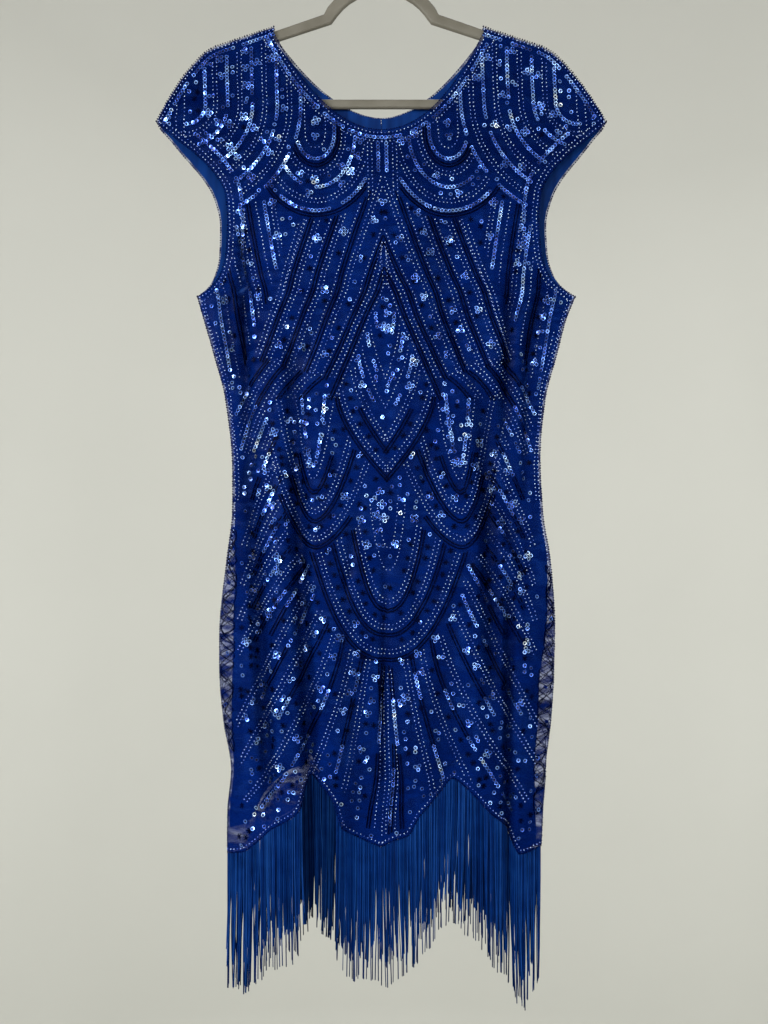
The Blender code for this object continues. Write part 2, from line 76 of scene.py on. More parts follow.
scene = bpy.context.scene
camera_data = bpy.data.cameras.new("camera")
camera_data.sensor_width = SENSOR_WIDTH
camera_data.lens = LENS
camera = bpy.data.objects.new("camera", camera_data)
camera.location = (CAMERA_ACROSS, -CAMERA_AWAY, -CAMERA_DROP)
camera.rotation_euler = (math.pi / 2, 0, 0)
scene.collection.objects.link(camera)
scene.camera = camera
scene.view_settings.view_transform = "Standard"
print("camera", CAMERA_AWAY, "m away, lens", LENS, "mm")

# %% [markdown]
# ## Small steps of a finish
# Every finish here is a short graph of nodes, and the same few steps come back in all of
# them. Each step is a function that adds one node and returns the value it gives.

# %% Node helpers
def new_finish(name):
    """An empty finish: its material, nodes, links and shader."""
    material = bpy.data.materials.new(name)
    material.use_nodes = True
    nodes = material.node_tree.nodes
    return material, nodes, material.node_tree.links, nodes["Principled BSDF"]


def own_place(nodes):
    """The piece's own coordinates, in metres."""
    return nodes.new("ShaderNodeTexCoord").outputs["Object"]


def each_island(nodes):
    """A random value from 0 to 1 for each bead or strand."""
    return nodes.new("ShaderNodeNewGeometry").outputs["Random Per Island"]


def own_value(nodes, name):
    """A value that the mesh holds for each of its points."""
    node = nodes.new("ShaderNodeAttribute")
    node.attribute_name = name
    return node.outputs["Fac"]


def math_node(nodes, links, operation, *values):
    """One sum; each value is a number or another node's output."""
    node = nodes.new("ShaderNodeMath")
    node.operation = operation
    for socket, value in zip(node.inputs, values):
        if isinstance(value, (int, float)):
            socket.default_value = value
        else:
            links.new(value, socket)
    return node.outputs[0]


def noise(nodes, links, vector, scale, detail=2.0):
    """Soft random values from 0 to 1, with about so many changes a metre."""
    node = nodes.new("ShaderNodeTexNoise")
    node.inputs["Scale"].default_value = scale
    node.inputs["Detail"].default_value = detail
    links.new(vector, node.inputs["Vector"])
    return node.outputs["Fac"]


def ramp(nodes, links, source, stops):
    """Turns a value into a colour; each stop is a value and its colour."""
    node = nodes.new("ShaderNodeValToRGB")
    while len(node.color_ramp.elements) < len(stops):
        node.color_ramp.elements.new(0.5)
    for element, (at, colour) in zip(node.color_ramp.elements, stops):
        element.position = at
        element.color = (*colour, 1)
    links.new(source, node.inputs["Fac"])
    return node.outputs["Color"]


def multiplied(nodes, links, first, second):
    """One colour darkened by another, or by a value from 0 to 1."""
    node = nodes.new("ShaderNodeMix")
    node.data_type, node.blend_type = "RGBA", "MULTIPLY"
    node.inputs["Factor"].default_value = 1.0
    links.new(first, node.inputs["A"])
    links.new(second, node.inputs["B"])
    return node.outputs["Result"]


def shaded(nodes, links, colour):
    """A colour darkened by the piece's own shade values, as in deep folds."""
    return multiplied(nodes, links, colour, own_value(nodes, "shade"))


def streaks(nodes, links, uv, across, down, detail=2.0):
    """Noise stretched on the cloth: so many changes a metre each way."""
    node = nodes.new("ShaderNodeVectorMath")
    node.operation = "MULTIPLY"
    node.inputs[1].default_value = (across, down, 1)
    links.new(uv, node.inputs[0])
    return noise(nodes, links, node.outputs["Vector"], 1.0, detail)


def bumped(nodes, links, shader, height, strength, distance):
    """Small relief, so many millimetres deep."""
    bump = nodes.new("ShaderNodeBump")
    bump.inputs["Strength"].default_value = strength
    bump.inputs["Distance"].default_value = distance * MM
    links.new(height, bump.inputs["Height"])
    links.new(bump.outputs["Normal"], shader.inputs["Normal"])


# %% [markdown]
# ## Stage
# A pale round studio with a floor keeps every side of the dress in the same soft
# light. It is turned from one profile, with a wide curve where floor meets wall, and
# painted a flat, slightly cloudy off-white.

# %% Turn the studio
STUDIO_RADIUS, STUDIO_FLOOR, STUDIO_TOP = 2.9, -2.8, 1.7
STUDIO_CURVE, CURVE_STEPS = 0.3, 6
FLAT_FLOOR = 1.3
STUDIO_SIDES = 72
# the first and last profile of the turn meet here, and points so close are joined
STUDIO_SEAM = 0.1
PAINT_CLOUDS = 1.5
PAINT_TINTS = ((0.0, (0.60, 0.602, 0.562)), (1.0, (0.64, 0.642, 0.602)))


def paint_finish():
    """Matt paint with wide, very faint clouds."""
    material, nodes, links, shader = new_finish("pale_studio")
    cloudy = noise(nodes, links, own_place(nodes), PAINT_CLOUDS)
    links.new(ramp(nodes, links, cloudy, PAINT_TINTS), shader.inputs["Base Color"])
    shader.inputs["Roughness"].default_value = 0.9
    shader.inputs["Specular IOR Level"].default_value = 0.1
    return material


profile = [(0.0, STUDIO_FLOOR), (FLAT_FLOOR, STUDIO_FLOOR)]
for step in range(CURVE_STEPS + 1):
    angle = math.radians(90 * step / CURVE_STEPS)
    profile.append((STUDIO_RADIUS - STUDIO_CURVE + STUDIO_CURVE * math.sin(angle),
                    STUDIO_FLOOR + STUDIO_CURVE - STUDIO_CURVE * math.cos(angle)))
profile.append((STUDIO_RADIUS, STUDIO_TOP))
studio_shape = bmesh.new()
line = [studio_shape.verts.new((out, 0, up)) for out, up in profile]
edges = [studio_shape.edges.new(pair) for pair in zip(line, line[1:])]
bmesh.ops.spin(studio_shape, geom=line + edges, cent=(0, 0, 0), axis=(0, 0, 1),
               angle=2 * math.pi, steps=STUDIO_SIDES, use_merge=True)
bmesh.ops.remove_doubles(studio_shape, verts=studio_shape.verts,
                         dist=STUDIO_SEAM * MM)
bmesh.ops.recalc_face_normals(studio_shape, faces=studio_shape.faces)
bmesh.ops.reverse_faces(studio_shape, faces=studio_shape.faces)
studio_mesh = bpy.data.meshes.new("studio")
studio_shape.to_mesh(studio_mesh)
studio_shape.free()
studio_mesh.shade_smooth()
studio_mesh.materials.append(paint_finish())
studio = bpy.data.objects.new("studio", studio_mesh)
scene.collection.objects.link(studio)
studio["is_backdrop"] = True
print("studio faces", len(studio_mesh.polygons))

# %% [markdown]
# ## Light
# A soft key stands at the left and rakes across the folds, with a wide weak fill at the
# right. Two lamps wash the wall behind the dress, and one behind it lights the edges and
# the clear net. Sequins are small mirrors, so a large lamp only greys them: a dozen very
# small, weak lamps in front give the tilted sequins something to flash.

# %% Lights
def table(columns, rows):
    """Rows whose values can be asked for by the names of their columns."""
    row_kind = namedtuple("Row", columns)
    return [row_kind(*row) for row in rows]


ROOM_COLOUR, ROOM_STRENGTH = (1.0, 0.99, 0.96, 1), 0.6
LAMPS = table("name place aim size watts", (
    ("key", (-1.65, -2.0, -0.2), (0, 0, -0.75), (0.7, 0.5), 64),
    ("fill", (1.3, -2.2, -0.7), (0, 0, -0.75), (1.2, 1.2), 12),
    ("wall_wash_left", (-1.7, 0.9, -1.0), (0.2, 2.9, -1.1), (1.0, 1.6), 7.2),
    ("wall_wash_right", (1.7, 0.9, -1.0), (-0.2, 2.9, -1.1), (1.0, 1.6), 8.4),
    ("back_soft", (0.4, 1.7, 1.5), (0, 0, -0.6), (1.2, 0.6), 16)))
SPARK_PLACES = (
    (-0.5, 0.4), (0.5, 0.4), (0.05, 0.15), (-0.45, -0.15), (0.5, -0.1), (0.1, -0.35),
    (-0.6, -0.6), (0.5, -0.55), (-0.1, -0.75), (-0.5, -1.05), (0.5, -1.0), (0.1, -1.3))
SPARK_AWAY, SPARK_AIM, SPARK_SIZE, SPARK_WATTS = 1.9, (0, 0, -0.65), (0.07, 0.07), 1.05


def hang_lamp(name, at, aim, size, watts):
    """A soft flat lamp that faces a point."""
    lamp = bpy.data.lights.new(name, "AREA")
    lamp.shape = "RECTANGLE"
    lamp.size, lamp.size_y = size
    lamp.energy = watts
    holder = bpy.data.objects.new(name, lamp)
    holder.location = at
    holder.rotation_euler = (Vector(aim) - Vector(at)).to_track_quat("-Z", "Y").to_euler()
    scene.collection.objects.link(holder)


world = bpy.data.worlds.new("soft_room")
world.use_nodes = True
world.node_tree.nodes["Background"].inputs["Color"].default_value = ROOM_COLOUR
world.node_tree.nodes["Background"].inputs["Strength"].default_value = ROOM_STRENGTH
scene.world = world
for lamp in LAMPS:
    hang_lamp(*lamp)
for index, (across, up) in enumerate(SPARK_PLACES):
    hang_lamp(f"spark_{index}", (across, -SPARK_AWAY, up), SPARK_AIM, SPARK_SIZE, SPARK_WATTS)
print(len(LAMPS), "lamps and", len(SPARK_PLACES), "sparks")

# %% [markdown]
# ## The cut of the dress
# A maker starts from a few measures: where the neck, shoulders, caps, armholes, side
# seams and hem lie. Heights are drops in millimetres below the hook's inside top, and
# places across are measured from the hanger's middle. The same measures shape every
# layer, so the beads, the net and the slip always agree.

# %% Measures of the cut
NECK_OUT, NECK_TOP = 115.0, 121.0
FRONT_NECK, FRONT_NECK_POWER = 238.0, 2.05
BACK_NECK, BACK_NECK_POWER = 216.5, 1.85
SHOULDER_SLOPE = 0.336
ARM_END, CAP_OUT = 180.0, 247.0
YOKE, UNDERARM, HIPS, HEM_TOP = 262.0, 417.0, 785.0, 922.0
SLIT_WIDTH, SLIT_END = 0.6, 322.0
# how far the front stays from the back, and how the cloth bends over the hanger's arm
SEAM_GAP, FOLD_OVER, SETTLE = 0.3, 7.2, 80.0
# how square the body is, and how deep its back is against its front
ROUNDNESS, BACK_SHARE = 3.0, 0.85

CAP = table("out drop", (
    (180, 142.84), (190, 148.5), (199, 156.5), (217, 177.5), (232, 199.5), (247, 225)))

ARMHOLE = table("drop front back lean", (
    (121, 247, 247, -3), (175, 247, 247, -2), (225, 247, 247, 0), (243, 229, 234, 0.5),
    (264, 203, 217, 1), (285, 183.5, 199.5, 1.5), (305, 173, 188, 2), (335, 170, 181, 2),
    (370, 172.5, 182, 2.5), (397, 182, 189, 3.5), (410, 197, 199, 5), (417, 208, 208, 5.5)))

SIDES = table("drop half lean", (
    (417, 208, 5.5), (445, 198.5, 4), (480, 189, 4.5), (530, 176, 4.5), (600, 169.5, 5.5),
    (655, 171, 7), (705, 178, 8), (785, 184.5, 6.5), (830, 184, 6), (880, 180.5, 6.5),
    (937, 173, 8), (980, 173.5, 4.5), (1035, 172.5, 3)))

DEPTHS = table("drop middle edge", (
    (121, 8, 7.2), (200, 12, 7.2), (250, 16, 7), (300, 19.5, 9), (340, 22, 11),
    (380, 23.5, 7.5), (402, 24, 4), (417, 24, 0), (500, 23.5, 0), (600, 20, 0),
    (700, 24, 0), (830, 28, 0), (1035, 30, 0)))

HEM = table("out left right", (
    (0, 1013, 1013), (13, 1008, 1006), (29, 1002, 1001), (42, 995, 980), (53, 964, 968),
    (66, 947, 953), (77, 939, 941), (88, 976, 948), (102, 988, 962), (118, 997, 980),
    (134, 1012, 994), (151, 1025, 1027), (180, 1030, 1019)))
print("dress", 2 * CAP_OUT, "mm across the caps,", 2 * SIDES[0].half, "under the arms")

# %% [markdown]
# ### Slip against net
# The slip is the narrower and the shorter layer, so clear net shows beside each side
# seam and above the hem at the left. The first table says how wide the clear strip is on
# each side, and the second how far the slip's hem stays above the net's. The net itself
# is turned up at its hem, and there it is nearly closed: the third table says how deep.

# %% Measures of the slip and of the net's turned hem
SHEER = table("drop left right", (
    (417, 3, 3), (445, 2.2, 2.2), (600, 2.4, 2.3), (660, 3.4, 2.5), (690, 6.5, 3), (720, 11.5, 5),
    (755, 14, 7.5), (800, 15.5, 11), (840, 13.5, 16), (870, 10.5, 15), (900, 6.5, 13.5),
    (930, 3.2, 12.5), (960, 2.6, 11), (1000, 2.6, 7), (1035, 2.6, 6)))

FRONT_SLIP_HEM = table("across short", (
    (-180, 24), (-160, 29), (-143, 31), (-132, 47), (-120, 51), (-104, 56), (-91, 51),
    (-80, 28), (-70, 14), (-60, 6), (40, 5), (120, 5), (150, 4), (165, 4)))
BACK_SLIP_HEM = table("across short", (
    (-180, 24), (-160, 28), (-143, 28), (-132, 44), (-120, 49), (-104, 53), (-91, 47),
    (-80, 25), (-70, 12), (-60, 6), (40, 8), (120, 7), (150, 5), (165, 5)))

TURNINGS = table("across deep", (
    (-180, 5), (-150, 5), (-138, 23), (-128, 29), (-116, 20), (-102, 17), (-90, 15), (-80, 8),
    (-68, 8), (180, 8)))
TURNING_EDGE = 4.0
GATHER_REACH, GATHER_FADE, GATHER_SHARE = 74.0, 12.0, 0.27
print("widest clear strip", max(row.right for row in SHEER), "mm")

# %% [markdown]
# ## Folds
# Cloth on a hanger falls in long soft folds. Each row says where one lies at its top
# and at its bottom, where it starts and ends, its half width, and how far it sinks; a
# negative sink stands out. The short slanted rows are small creases at the waist.

# %% Measures of the folds
FRONT_FOLDS = table("top bottom start end half_width sink", (
    (-152, -148, 335, 560, 4.5, 22), (-142, -121, 640, 985, 6.5, 26), (-150, -142, 520, 700, 6, 9),
    (-100, -64, 450, 1190, 7.5, 17), (-114, -101, 520, 900, 8, -2.5), (-58, -46, 520, 880, 12, -2),
    (112, 122, 520, 860, 8.5, 17), (139, 139, 720, 1060, 4.5, 20), (141, 134, 400, 580, 6, 15),
    (99, 105, 600, 1000, 9, -2.5), (160, 158, 430, 640, 4, 12), (-176, -158, 405, 520, 8, 9),
    (176, 160, 395, 500, 8, 8), (66, 66, 800, 1300, 14, 5), (-30, -34, 780, 1300, 12, 5),
    (4, 2, 690, 1000, 4, 6), (12, 16, 820, 1300, 18, -2.5), (60, 60, 270, 520, 22, 2.5),
    (-60, -104, 430, 530, 5, 5), (66, 110, 430, 545, 5, 5), (30, 46, 690, 820, 5, 3.5),
    (-24, -44, 640, 770, 5, 3.5), (-62, -40, 560, 640, 4, 4), (58, 40, 560, 650, 4, 4),
    (-128, -160, 560, 650, 5, 7), (128, 156, 640, 730, 5, 7), (-104, -78, 590, 660, 5, 5)))
BACK_FOLDS = table("top bottom start end half_width sink", (
    (-150, -146, 345, 540, 5, 20), (-122, -112, 500, 930, 7, 17), (-88, -84, 560, 980, 11, -2.5),
    (94, 88, 440, 1100, 7, 17), (62, 60, 540, 880, 12, -2.5), (144, 124, 640, 1020, 6, 24),
    (-56, -60, 700, 1300, 11, 8), (152, 156, 400, 600, 4.5, 16), (-136, -140, 760, 1080, 5, 18),
    (24, 24, 700, 1300, 16, 5), (-70, -110, 440, 540, 5, 5), (60, 100, 450, 560, 5, 5),
    (-20, -40, 620, 760, 5, 3.5), (34, 20, 600, 720, 6, 3.5), (176, 160, 405, 510, 8, 9)))
FOLDS = {"front": FRONT_FOLDS, "back": BACK_FOLDS}
print(len(FRONT_FOLDS), "folds in front and", len(BACK_FOLDS), "behind")

# %% [markdown]
# ## From a few marks to a line
# A pattern cutter marks a few points and draws a smooth line through them. A table does
# the same here: it is read as a curve that goes through each row and never swings past
# it, so a width or a drop can be asked for anywhere between the marks.

# %% Read a table as a smooth curve
def curve(rows, column):
    """A smooth curve through one column that never overshoots a row."""
    places = np.array([row[0] for row in rows], float)
    values = np.array([getattr(row, column) for row in rows], float)
    rises = np.diff(values) / np.diff(places)
    before, after = rises[:-1], rises[1:]
    turning = before * after <= 0
    middle = 2 * before * after / np.where(turning, 1, before + after)
    slopes = np.concatenate(([rises[0]], np.where(turning, 0, middle), [rises[-1]]))

    def at(place):
        place = np.clip(place, places[0], places[-1])
        i = np.clip(np.searchsorted(places, place, side="right") - 1, 0, len(rows) - 2)
        span = places[i + 1] - places[i]
        t = (place - places[i]) / span
        return (values[i] * (1 + 2 * t) * (1 - t) ** 2 + slopes[i] * span * t * (1 - t) ** 2
                + values[i + 1] * t * t * (3 - 2 * t)
                - slopes[i + 1] * span * t * t * (1 - t))
    return at


def ease(t):
    """0 to 1 with soft ends."""
    t = np.clip(t, 0, 1)
    return t * t * (3 - 2 * t)


cap_edge = curve(CAP, "drop")
armhole = {face: curve(ARMHOLE, face) for face in ("front", "back")}
upper_lean, lower_lean = curve(ARMHOLE, "lean"), curve(SIDES, "lean")
side_half = curve(SIDES, "half")
sheer_width = {-1: curve(SHEER, "left"), 1: curve(SHEER, "right")}
depth_middle, depth_edge = curve(DEPTHS, "middle"), curve(DEPTHS, "edge")
hem_left, hem_right = curve(HEM, "left"), curve(HEM, "right")
slip_shortness = {"front": curve(FRONT_SLIP_HEM, "short"), "back": curve(BACK_SLIP_HEM, "short")}
turning_depth = curve(TURNINGS, "deep")
print("half width at the hips", round(float(side_half(HIPS)), 1), "mm")

# %% [markdown]
# ## One rule for every layer
# The cloth's height above the hanger's flat plane is one function of the place across
# and the drop: it bends over the hanger's arm, settles to the body's depth and then
# takes the folds. Layers differ only in how far they lie under the net. A fold's depth
# dies out at the side seams and narrows to nothing at both of its ends. It never passes
# the seam plane: a deep trough only comes closer and closer to it.

# %% Outline and depth of the cloth
Layer = namedtuple("Layer", "wall under slack neck_inset armhole_inset")
NET = Layer(wall=0.6, under=0.0, slack=0.0, neck_inset=0.0, armhole_inset=0.0)
LINING = Layer(wall=0.7, under=1.6, slack=2.6, neck_inset=2.5, armhole_inset=2.5)
FOLD_TAPER = 0.7
TROUGH_POWER, RIDGE_POWER = 14, 0.5
DARKEST_FOLD, FOLD_LIGHT_REACH = 0.52, 6.0


def shoulder_drop(out):
    """Drop of the shoulder line, and beyond the hanger's arm of the cap's edge."""
    line = NECK_TOP + SHOULDER_SLOPE * (out - NECK_OUT)
    return np.where(out <= ARM_END, line, cap_edge(out))


def shoulder_tilt(out):
    return np.arctan(shoulder_drop(out + 0.5) - shoulder_drop(out - 0.5))


def lean(drop, layer=NET):
    """Place across of a layer's middle at a drop."""
    middle = np.where(drop < UNDERARM, upper_lean(drop), lower_lean(drop))
    if layer is LINING:
        middle = middle + (sheer_width[-1](drop) - sheer_width[1](drop)) / 2
    return middle


def neck_drop(out, face):
    """Drop of the neck's edge, from the middle out to the shoulder seam."""
    lowest, power = ((FRONT_NECK, FRONT_NECK_POWER) if face == "front"
                     else (BACK_NECK, BACK_NECK_POWER))
    return lowest - (lowest - NECK_TOP - FOLD_OVER) * (out / NECK_OUT) ** power


def half_width(drop, face, layer=NET):
    """Half a layer's width at a drop: to the armhole, and below it to the side seam."""
    inset = (sheer_width[-1](drop) + sheer_width[1](drop)) / 2 if layer is LINING else 0.0
    return np.where(drop < UNDERARM, armhole[face](drop) - layer.armhole_inset,
                    side_half(drop) - inset)


def hem_drop(across):
    return np.where(across < 0, hem_left(-across), hem_right(across))


def fold_depth(across, drop, face):
    """How far all folds together push the cloth out, or in where it is below zero."""
    push = np.zeros(np.broadcast(across, drop).shape)
    for fold in FOLDS[face]:
        length = np.clip((drop - fold.start) / (fold.end - fold.start), 0, 1)
        middle = fold.top + (fold.bottom - fold.top) * length
        beside = (across - middle) / fold.half_width
        push -= fold.sink * np.exp(-beside ** 2) * np.sin(math.pi * length) ** FOLD_TAPER
    return push


def fold_shade(across, drop, face):
    """How much light reaches the cloth: little at the bottom of a deep fold."""
    sunk = np.minimum(fold_depth(across, drop, face), 0)
    return DARKEST_FOLD + (1 - DARKEST_FOLD) * np.exp(sunk / FOLD_LIGHT_REACH)


def stand_off(share, across, drop, face, layer):
    """Distance of a layer's outer face from the seam plane."""
    out = np.abs(across)
    below = (drop - shoulder_drop(out)) * np.cos(shoulder_tilt(out))
    fall = ease((below - FOLD_OVER) / SETTLE)
    under = layer.under + layer.slack * fall
    middle = depth_middle(drop) * (1 if face == "front" else BACK_SHARE)
    edge = np.maximum(depth_edge(drop) - under, layer.wall)
    across_shape = np.maximum(1 - np.abs(share) ** ROUNDNESS, 0)
    body = edge + (middle - under - edge) * across_shape
    push = fold_depth(across, drop, face) * (1 - np.abs(share) ** TROUGH_POWER)
    room = np.maximum(body - layer.wall, 0.01)
    body = np.where(push < 0, layer.wall + room * np.exp(push / room),
                    body + push * across_shape ** RIDGE_POWER)
    return (FOLD_OVER - layer.under) * (1 - fall) + body * fall


def place(across, drop, off, face):
    """Points in metres from a place across, a drop and a height above the seam plane."""
    side = -1 if face == "front" else 1
    across, drop, off = np.broadcast_arrays(across, drop, off)
    return np.stack([across, side * (SEAM_GAP / 2 + off), -drop], axis=-1) * MM


# %% [markdown]
# ## Cloth walls
# A panel is a grid: columns run from the shoulder or neck down to the hem, and rows
# cross them. The grid is doubled a wall's thickness inwards and closed round its
# edges, as real cloth has two faces and an edge. The back's middle column of cells
# is left out down to the end of the neck slit.

# %% Grid of one panel
BEND_ANGLES = np.radians(np.arange(0, 91, 15))
YOKE_SHARES = np.array([0.12, 0.28, 0.46, 0.64, 0.82])
HEM_SHARES = np.linspace(0.125, 1.0, 8)
NECK_COLUMNS, CAP_COLUMNS = (30, 62, 90), (147, ARM_END, 214)
# the hem's place across and its drop depend on each other, so both are found in rounds
HEM_ROUNDS = 5
ON_SEAM = 1e-6


def columns_from(places, steps):
    """Finer columns between the main ones, from the middle out to the cap's tip."""
    fine = np.concatenate([np.linspace(a, b, steps, endpoint=False)
                           for a, b in zip(places, places[1:])])
    return np.append(fine, places[-1])


def panel_grid(face, layer, steps, row_drops):
    """Outer and inner points of a panel, and which cells of its grid are cloth."""
    neck_end = NECK_OUT + layer.neck_inset
    cap_end = CAP_OUT - layer.armhole_inset
    start = 0.0 if face == "front" else SLIT_WIDTH / 2
    half = columns_from([start, *NECK_COLUMNS, neck_end, *CAP_COLUMNS, cap_end], steps)
    outs = np.concatenate([-half[::-1], half if face == "back" else half[1:]])
    out, side = np.abs(outs), np.sign(outs)
    share = outs / cap_end
    tilt = shoulder_tilt(out)
    on_shoulder = out >= neck_end - ON_SEAM

    def bend(depth):
        """The stretch over the hanger's arm, for a face that lies so deep."""
        rise = (FOLD_OVER - depth) * np.cos(BEND_ANGLES)[None, :]
        drop = ((shoulder_drop(out) + FOLD_OVER * np.cos(tilt))[:, None]
                - rise * np.cos(tilt)[:, None])
        along = ((out - FOLD_OVER * np.sin(tilt))[:, None] + rise * np.sin(tilt)[:, None])
        across = lean(drop) + side[:, None] * along
        off = np.broadcast_to((FOLD_OVER - depth) * np.sin(BEND_ANGLES), drop.shape)
        return across, drop, off

    bends = [bend(layer.under), bend(layer.under + layer.wall)]
    neck = neck_drop(np.minimum(out * NECK_OUT / neck_end, NECK_OUT), face) + layer.neck_inset
    first = np.where(on_shoulder, bends[0][1][:, -1], neck)[:, None]
    hem = np.full(len(outs), HEM_TOP)
    for _ in range(HEM_ROUNDS):
        hem_across = lean(hem, layer) + share * half_width(hem, face, layer)
        hem = hem_drop(hem_across)
    short = slip_shortness[face](hem_across) if layer is LINING else np.zeros(len(outs))
    last = row_drops[-1]
    drops = np.concatenate([
        first + (row_drops[0] - first) * np.concatenate([[0.0], YOKE_SHARES])[None, :],
        np.broadcast_to(row_drops, (len(outs), len(row_drops))),
        last + (hem - short - last)[:, None] * HEM_SHARES[None, :]], axis=1)
    across = lean(drops, layer) + share[:, None] * half_width(drops, face, layer)
    off = stand_off(share[:, None], across, drops, face, layer)
    walls = []
    for (bend_across, bend_drop, bend_off), sunk in zip(bends, (0.0, layer.wall)):
        walls.append(np.concatenate([
            place(bend_across[:, :-1], bend_drop[:, :-1], bend_off[:, :-1], face),
            place(across, drops, off - sunk, face)], axis=1))
    rows = walls[0].shape[1]
    cells = np.ones((len(outs) - 1, rows - 1), bool)
    reach = np.maximum(out[:-1], out[1:])
    cells[reach <= neck_end + ON_SEAM, :len(BEND_ANGLES) - 1] = False
    if face == "back":
        slit_row = len(BEND_ANGLES) + len(YOKE_SHARES) + int(np.argmin(abs(row_drops - SLIT_END)))
        cells[len(half) - 1, :slit_row] = False
    return walls[0], walls[1], cells


# %% [markdown]
# ### Shade and gather
# A finish can't tell how deep a fold is, so each point of the cloth carries two values.
# Shade is painted shade, the light that reaches each point: less in a deep fold, and less
# on the yoke's outer face, darkest at its top. Gather says how closed the net is at its hem.

# %% Close a grid to a wall
# painted shade: the outer face of net and slip is 40 percent darker on the yoke above a drop of 265
# mm, fading out by 345
YOKE_SHADE, YOKE_SHADE_END, YOKE_SHADE_FADE = 0.4, 345.0, 80.0
SHARP_CLOTH = math.radians(50)
# the corners of a cell and the cells beside its edges, as steps of a column and a row
CORNERS = ((0, 0), (1, 0), (1, 1), (0, 1))
BESIDE = ((0, -1), (1, 0), (0, 1), (-1, 0))


def gathered_net(points):
    """1 where the net is turned up at its hem, and a share of it where it gathers above."""
    across = points[:, 0] / MM
    above = hem_drop(across) + points[:, 2] / MM
    turned = ease((turning_depth(across) + TURNING_EDGE - above) / (2 * TURNING_EDGE))
    return np.maximum(turned, GATHER_SHARE * ease((GATHER_REACH - above) / GATHER_FADE))


def light_on(points, outside, face):
    """The light that reaches each point, dimmed on the yoke's outer face."""
    light = fold_shade(points[:, 0] / MM, -points[:, 2] / MM, face)
    above_end = YOKE_SHADE_END + points[outside, 2] / MM
    light[outside] *= 1 - YOKE_SHADE * ease(above_end / YOKE_SHADE_FADE)
    return light


def keep_values(mesh, name, values):
    """Gives each point of a mesh a value that its finish or a tree can ask for."""
    mesh.attributes.new(name, "FLOAT", "POINT").data.foreach_set("value", values)


def closed_wall(name, outer, inner, cells, face, material):
    """A closed wall between two grids, with the cloth's own measures as its UV map."""
    columns, rows = outer.shape[:2]
    number = np.arange(columns * rows).reshape(columns, rows)
    column, row = np.nonzero(cells)
    corners = [number[column + right, row + down] for right, down in CORNERS]
    deep = columns * rows
    quads = [np.stack(corners, 1), np.stack(corners[::-1], 1) + deep]
    ringed = np.pad(cells, 1)
    for (right, down), start, end in zip(BESIDE, corners, corners[1:] + corners[:1]):
        bare = ~ringed[column + 1 + right, row + 1 + down]
        start, end = start[bare], end[bare]
        quads.append(np.stack([end, start, start + deep, end + deep], 1))
    quads = np.concatenate(quads)
    if face == "front":
        quads = quads[:, ::-1]
    points = np.concatenate([outer.reshape(-1, 3), inner.reshape(-1, 3)])
    used, quads = np.unique(quads, return_inverse=True)
    quads = quads.reshape(-1, 4)
    points = points[used]
    mesh = bpy.data.meshes.new(name)
    mesh.from_pydata(points.tolist(), [], quads.tolist())
    measures = mesh.uv_layers.new(name="cloth")
    used_by = np.empty(len(mesh.loops), int)
    mesh.loops.foreach_get("vertex_index", used_by)
    measures.data.foreach_set("uv", points[used_by][:, [0, 2]].ravel())
    keep_values(mesh, "shade", light_on(points, used < deep, face))
    keep_values(mesh, "gather", gathered_net(points))
    mesh.materials.append(material)
    mesh.shade_smooth()
    mesh.set_sharp_from_angle(angle=SHARP_CLOTH)
    made = bpy.data.objects.new(name, mesh)
    scene.collection.objects.link(made)
    print(f"{name}: {len(quads)} faces")
    return made


# %% [markdown]
# ## Cloth finishes
# The net is a fine tulle: dark threads with light between them, so it is partly clear
# and its weave is a small grid. The slip is a thin satin with a soft sheen. Both are
# drawn on the cloth's own measures, so the weave follows the folds. The threads are too
# fine to see one by one, so soft patches say where they lie closer together.

# %% Weave
WEAVE_UNEVEN, WEAVE_DETAIL = 0.4, 1.0
# a wave is 6.2832 radians long, and the texture runs through 20 of them for each unit of scale
WAVE_RADIANS, SCALE_RADIANS = 6.2832, 20


def weave(nodes, links, pitch):
    """Threads both ways at a pitch in millimetres: 1 on a thread, 0 between."""
    place_on = nodes.new("ShaderNodeUVMap")
    place_on.uv_map = "cloth"
    waves = []
    for direction in ("X", "Y"):
        wave = nodes.new("ShaderNodeTexWave")
        wave.bands_direction = direction
        wave.inputs["Scale"].default_value = WAVE_RADIANS / (SCALE_RADIANS * pitch * MM)
        wave.inputs["Distortion"].default_value = WEAVE_UNEVEN
        wave.inputs["Detail"].default_value = WEAVE_DETAIL
        links.new(place_on.outputs["UV"], wave.inputs["Vector"])
        waves.append(wave.outputs["Fac"])
    return place_on.outputs["UV"], math_node(nodes, links, "MAXIMUM", *waves)


# %% Net finish
NET_PITCH = 1.8
NET_TINTS = ((0.3, (0.0004, 0.0066, 0.075)), (0.7, (0.0012, 0.0140, 0.130)))
OPEN_NET = (0.88, 0.90, 0.985, 1)
PATCHES_ACROSS, PATCHES_DOWN = 42, 115
PATCH_CONTRAST, PATCH_SHIFT = 2.2, -0.88
THREAD_SHARE, GATHER_COVER = 0.1, 0.6
LEAST_COVER, MOST_COVER = 0.11, 0.72


def net_cover(nodes, links, uv, threads):
    """How much of the net is thread: patches, single threads, and the gathered hem."""
    patches = math_node(nodes, links, "MULTIPLY_ADD",
                        streaks(nodes, links, uv, PATCHES_ACROSS, PATCHES_DOWN, 3.0),
                        PATCH_CONTRAST, PATCH_SHIFT)
    threaded = math_node(nodes, links, "MULTIPLY_ADD", threads, THREAD_SHARE, patches)
    doubled = math_node(nodes, links, "MULTIPLY_ADD", own_value(nodes, "gather"),
                        GATHER_COVER, threaded)
    floored = math_node(nodes, links, "MAXIMUM", doubled, LEAST_COVER)
    return math_node(nodes, links, "MINIMUM", floored, MOST_COVER)


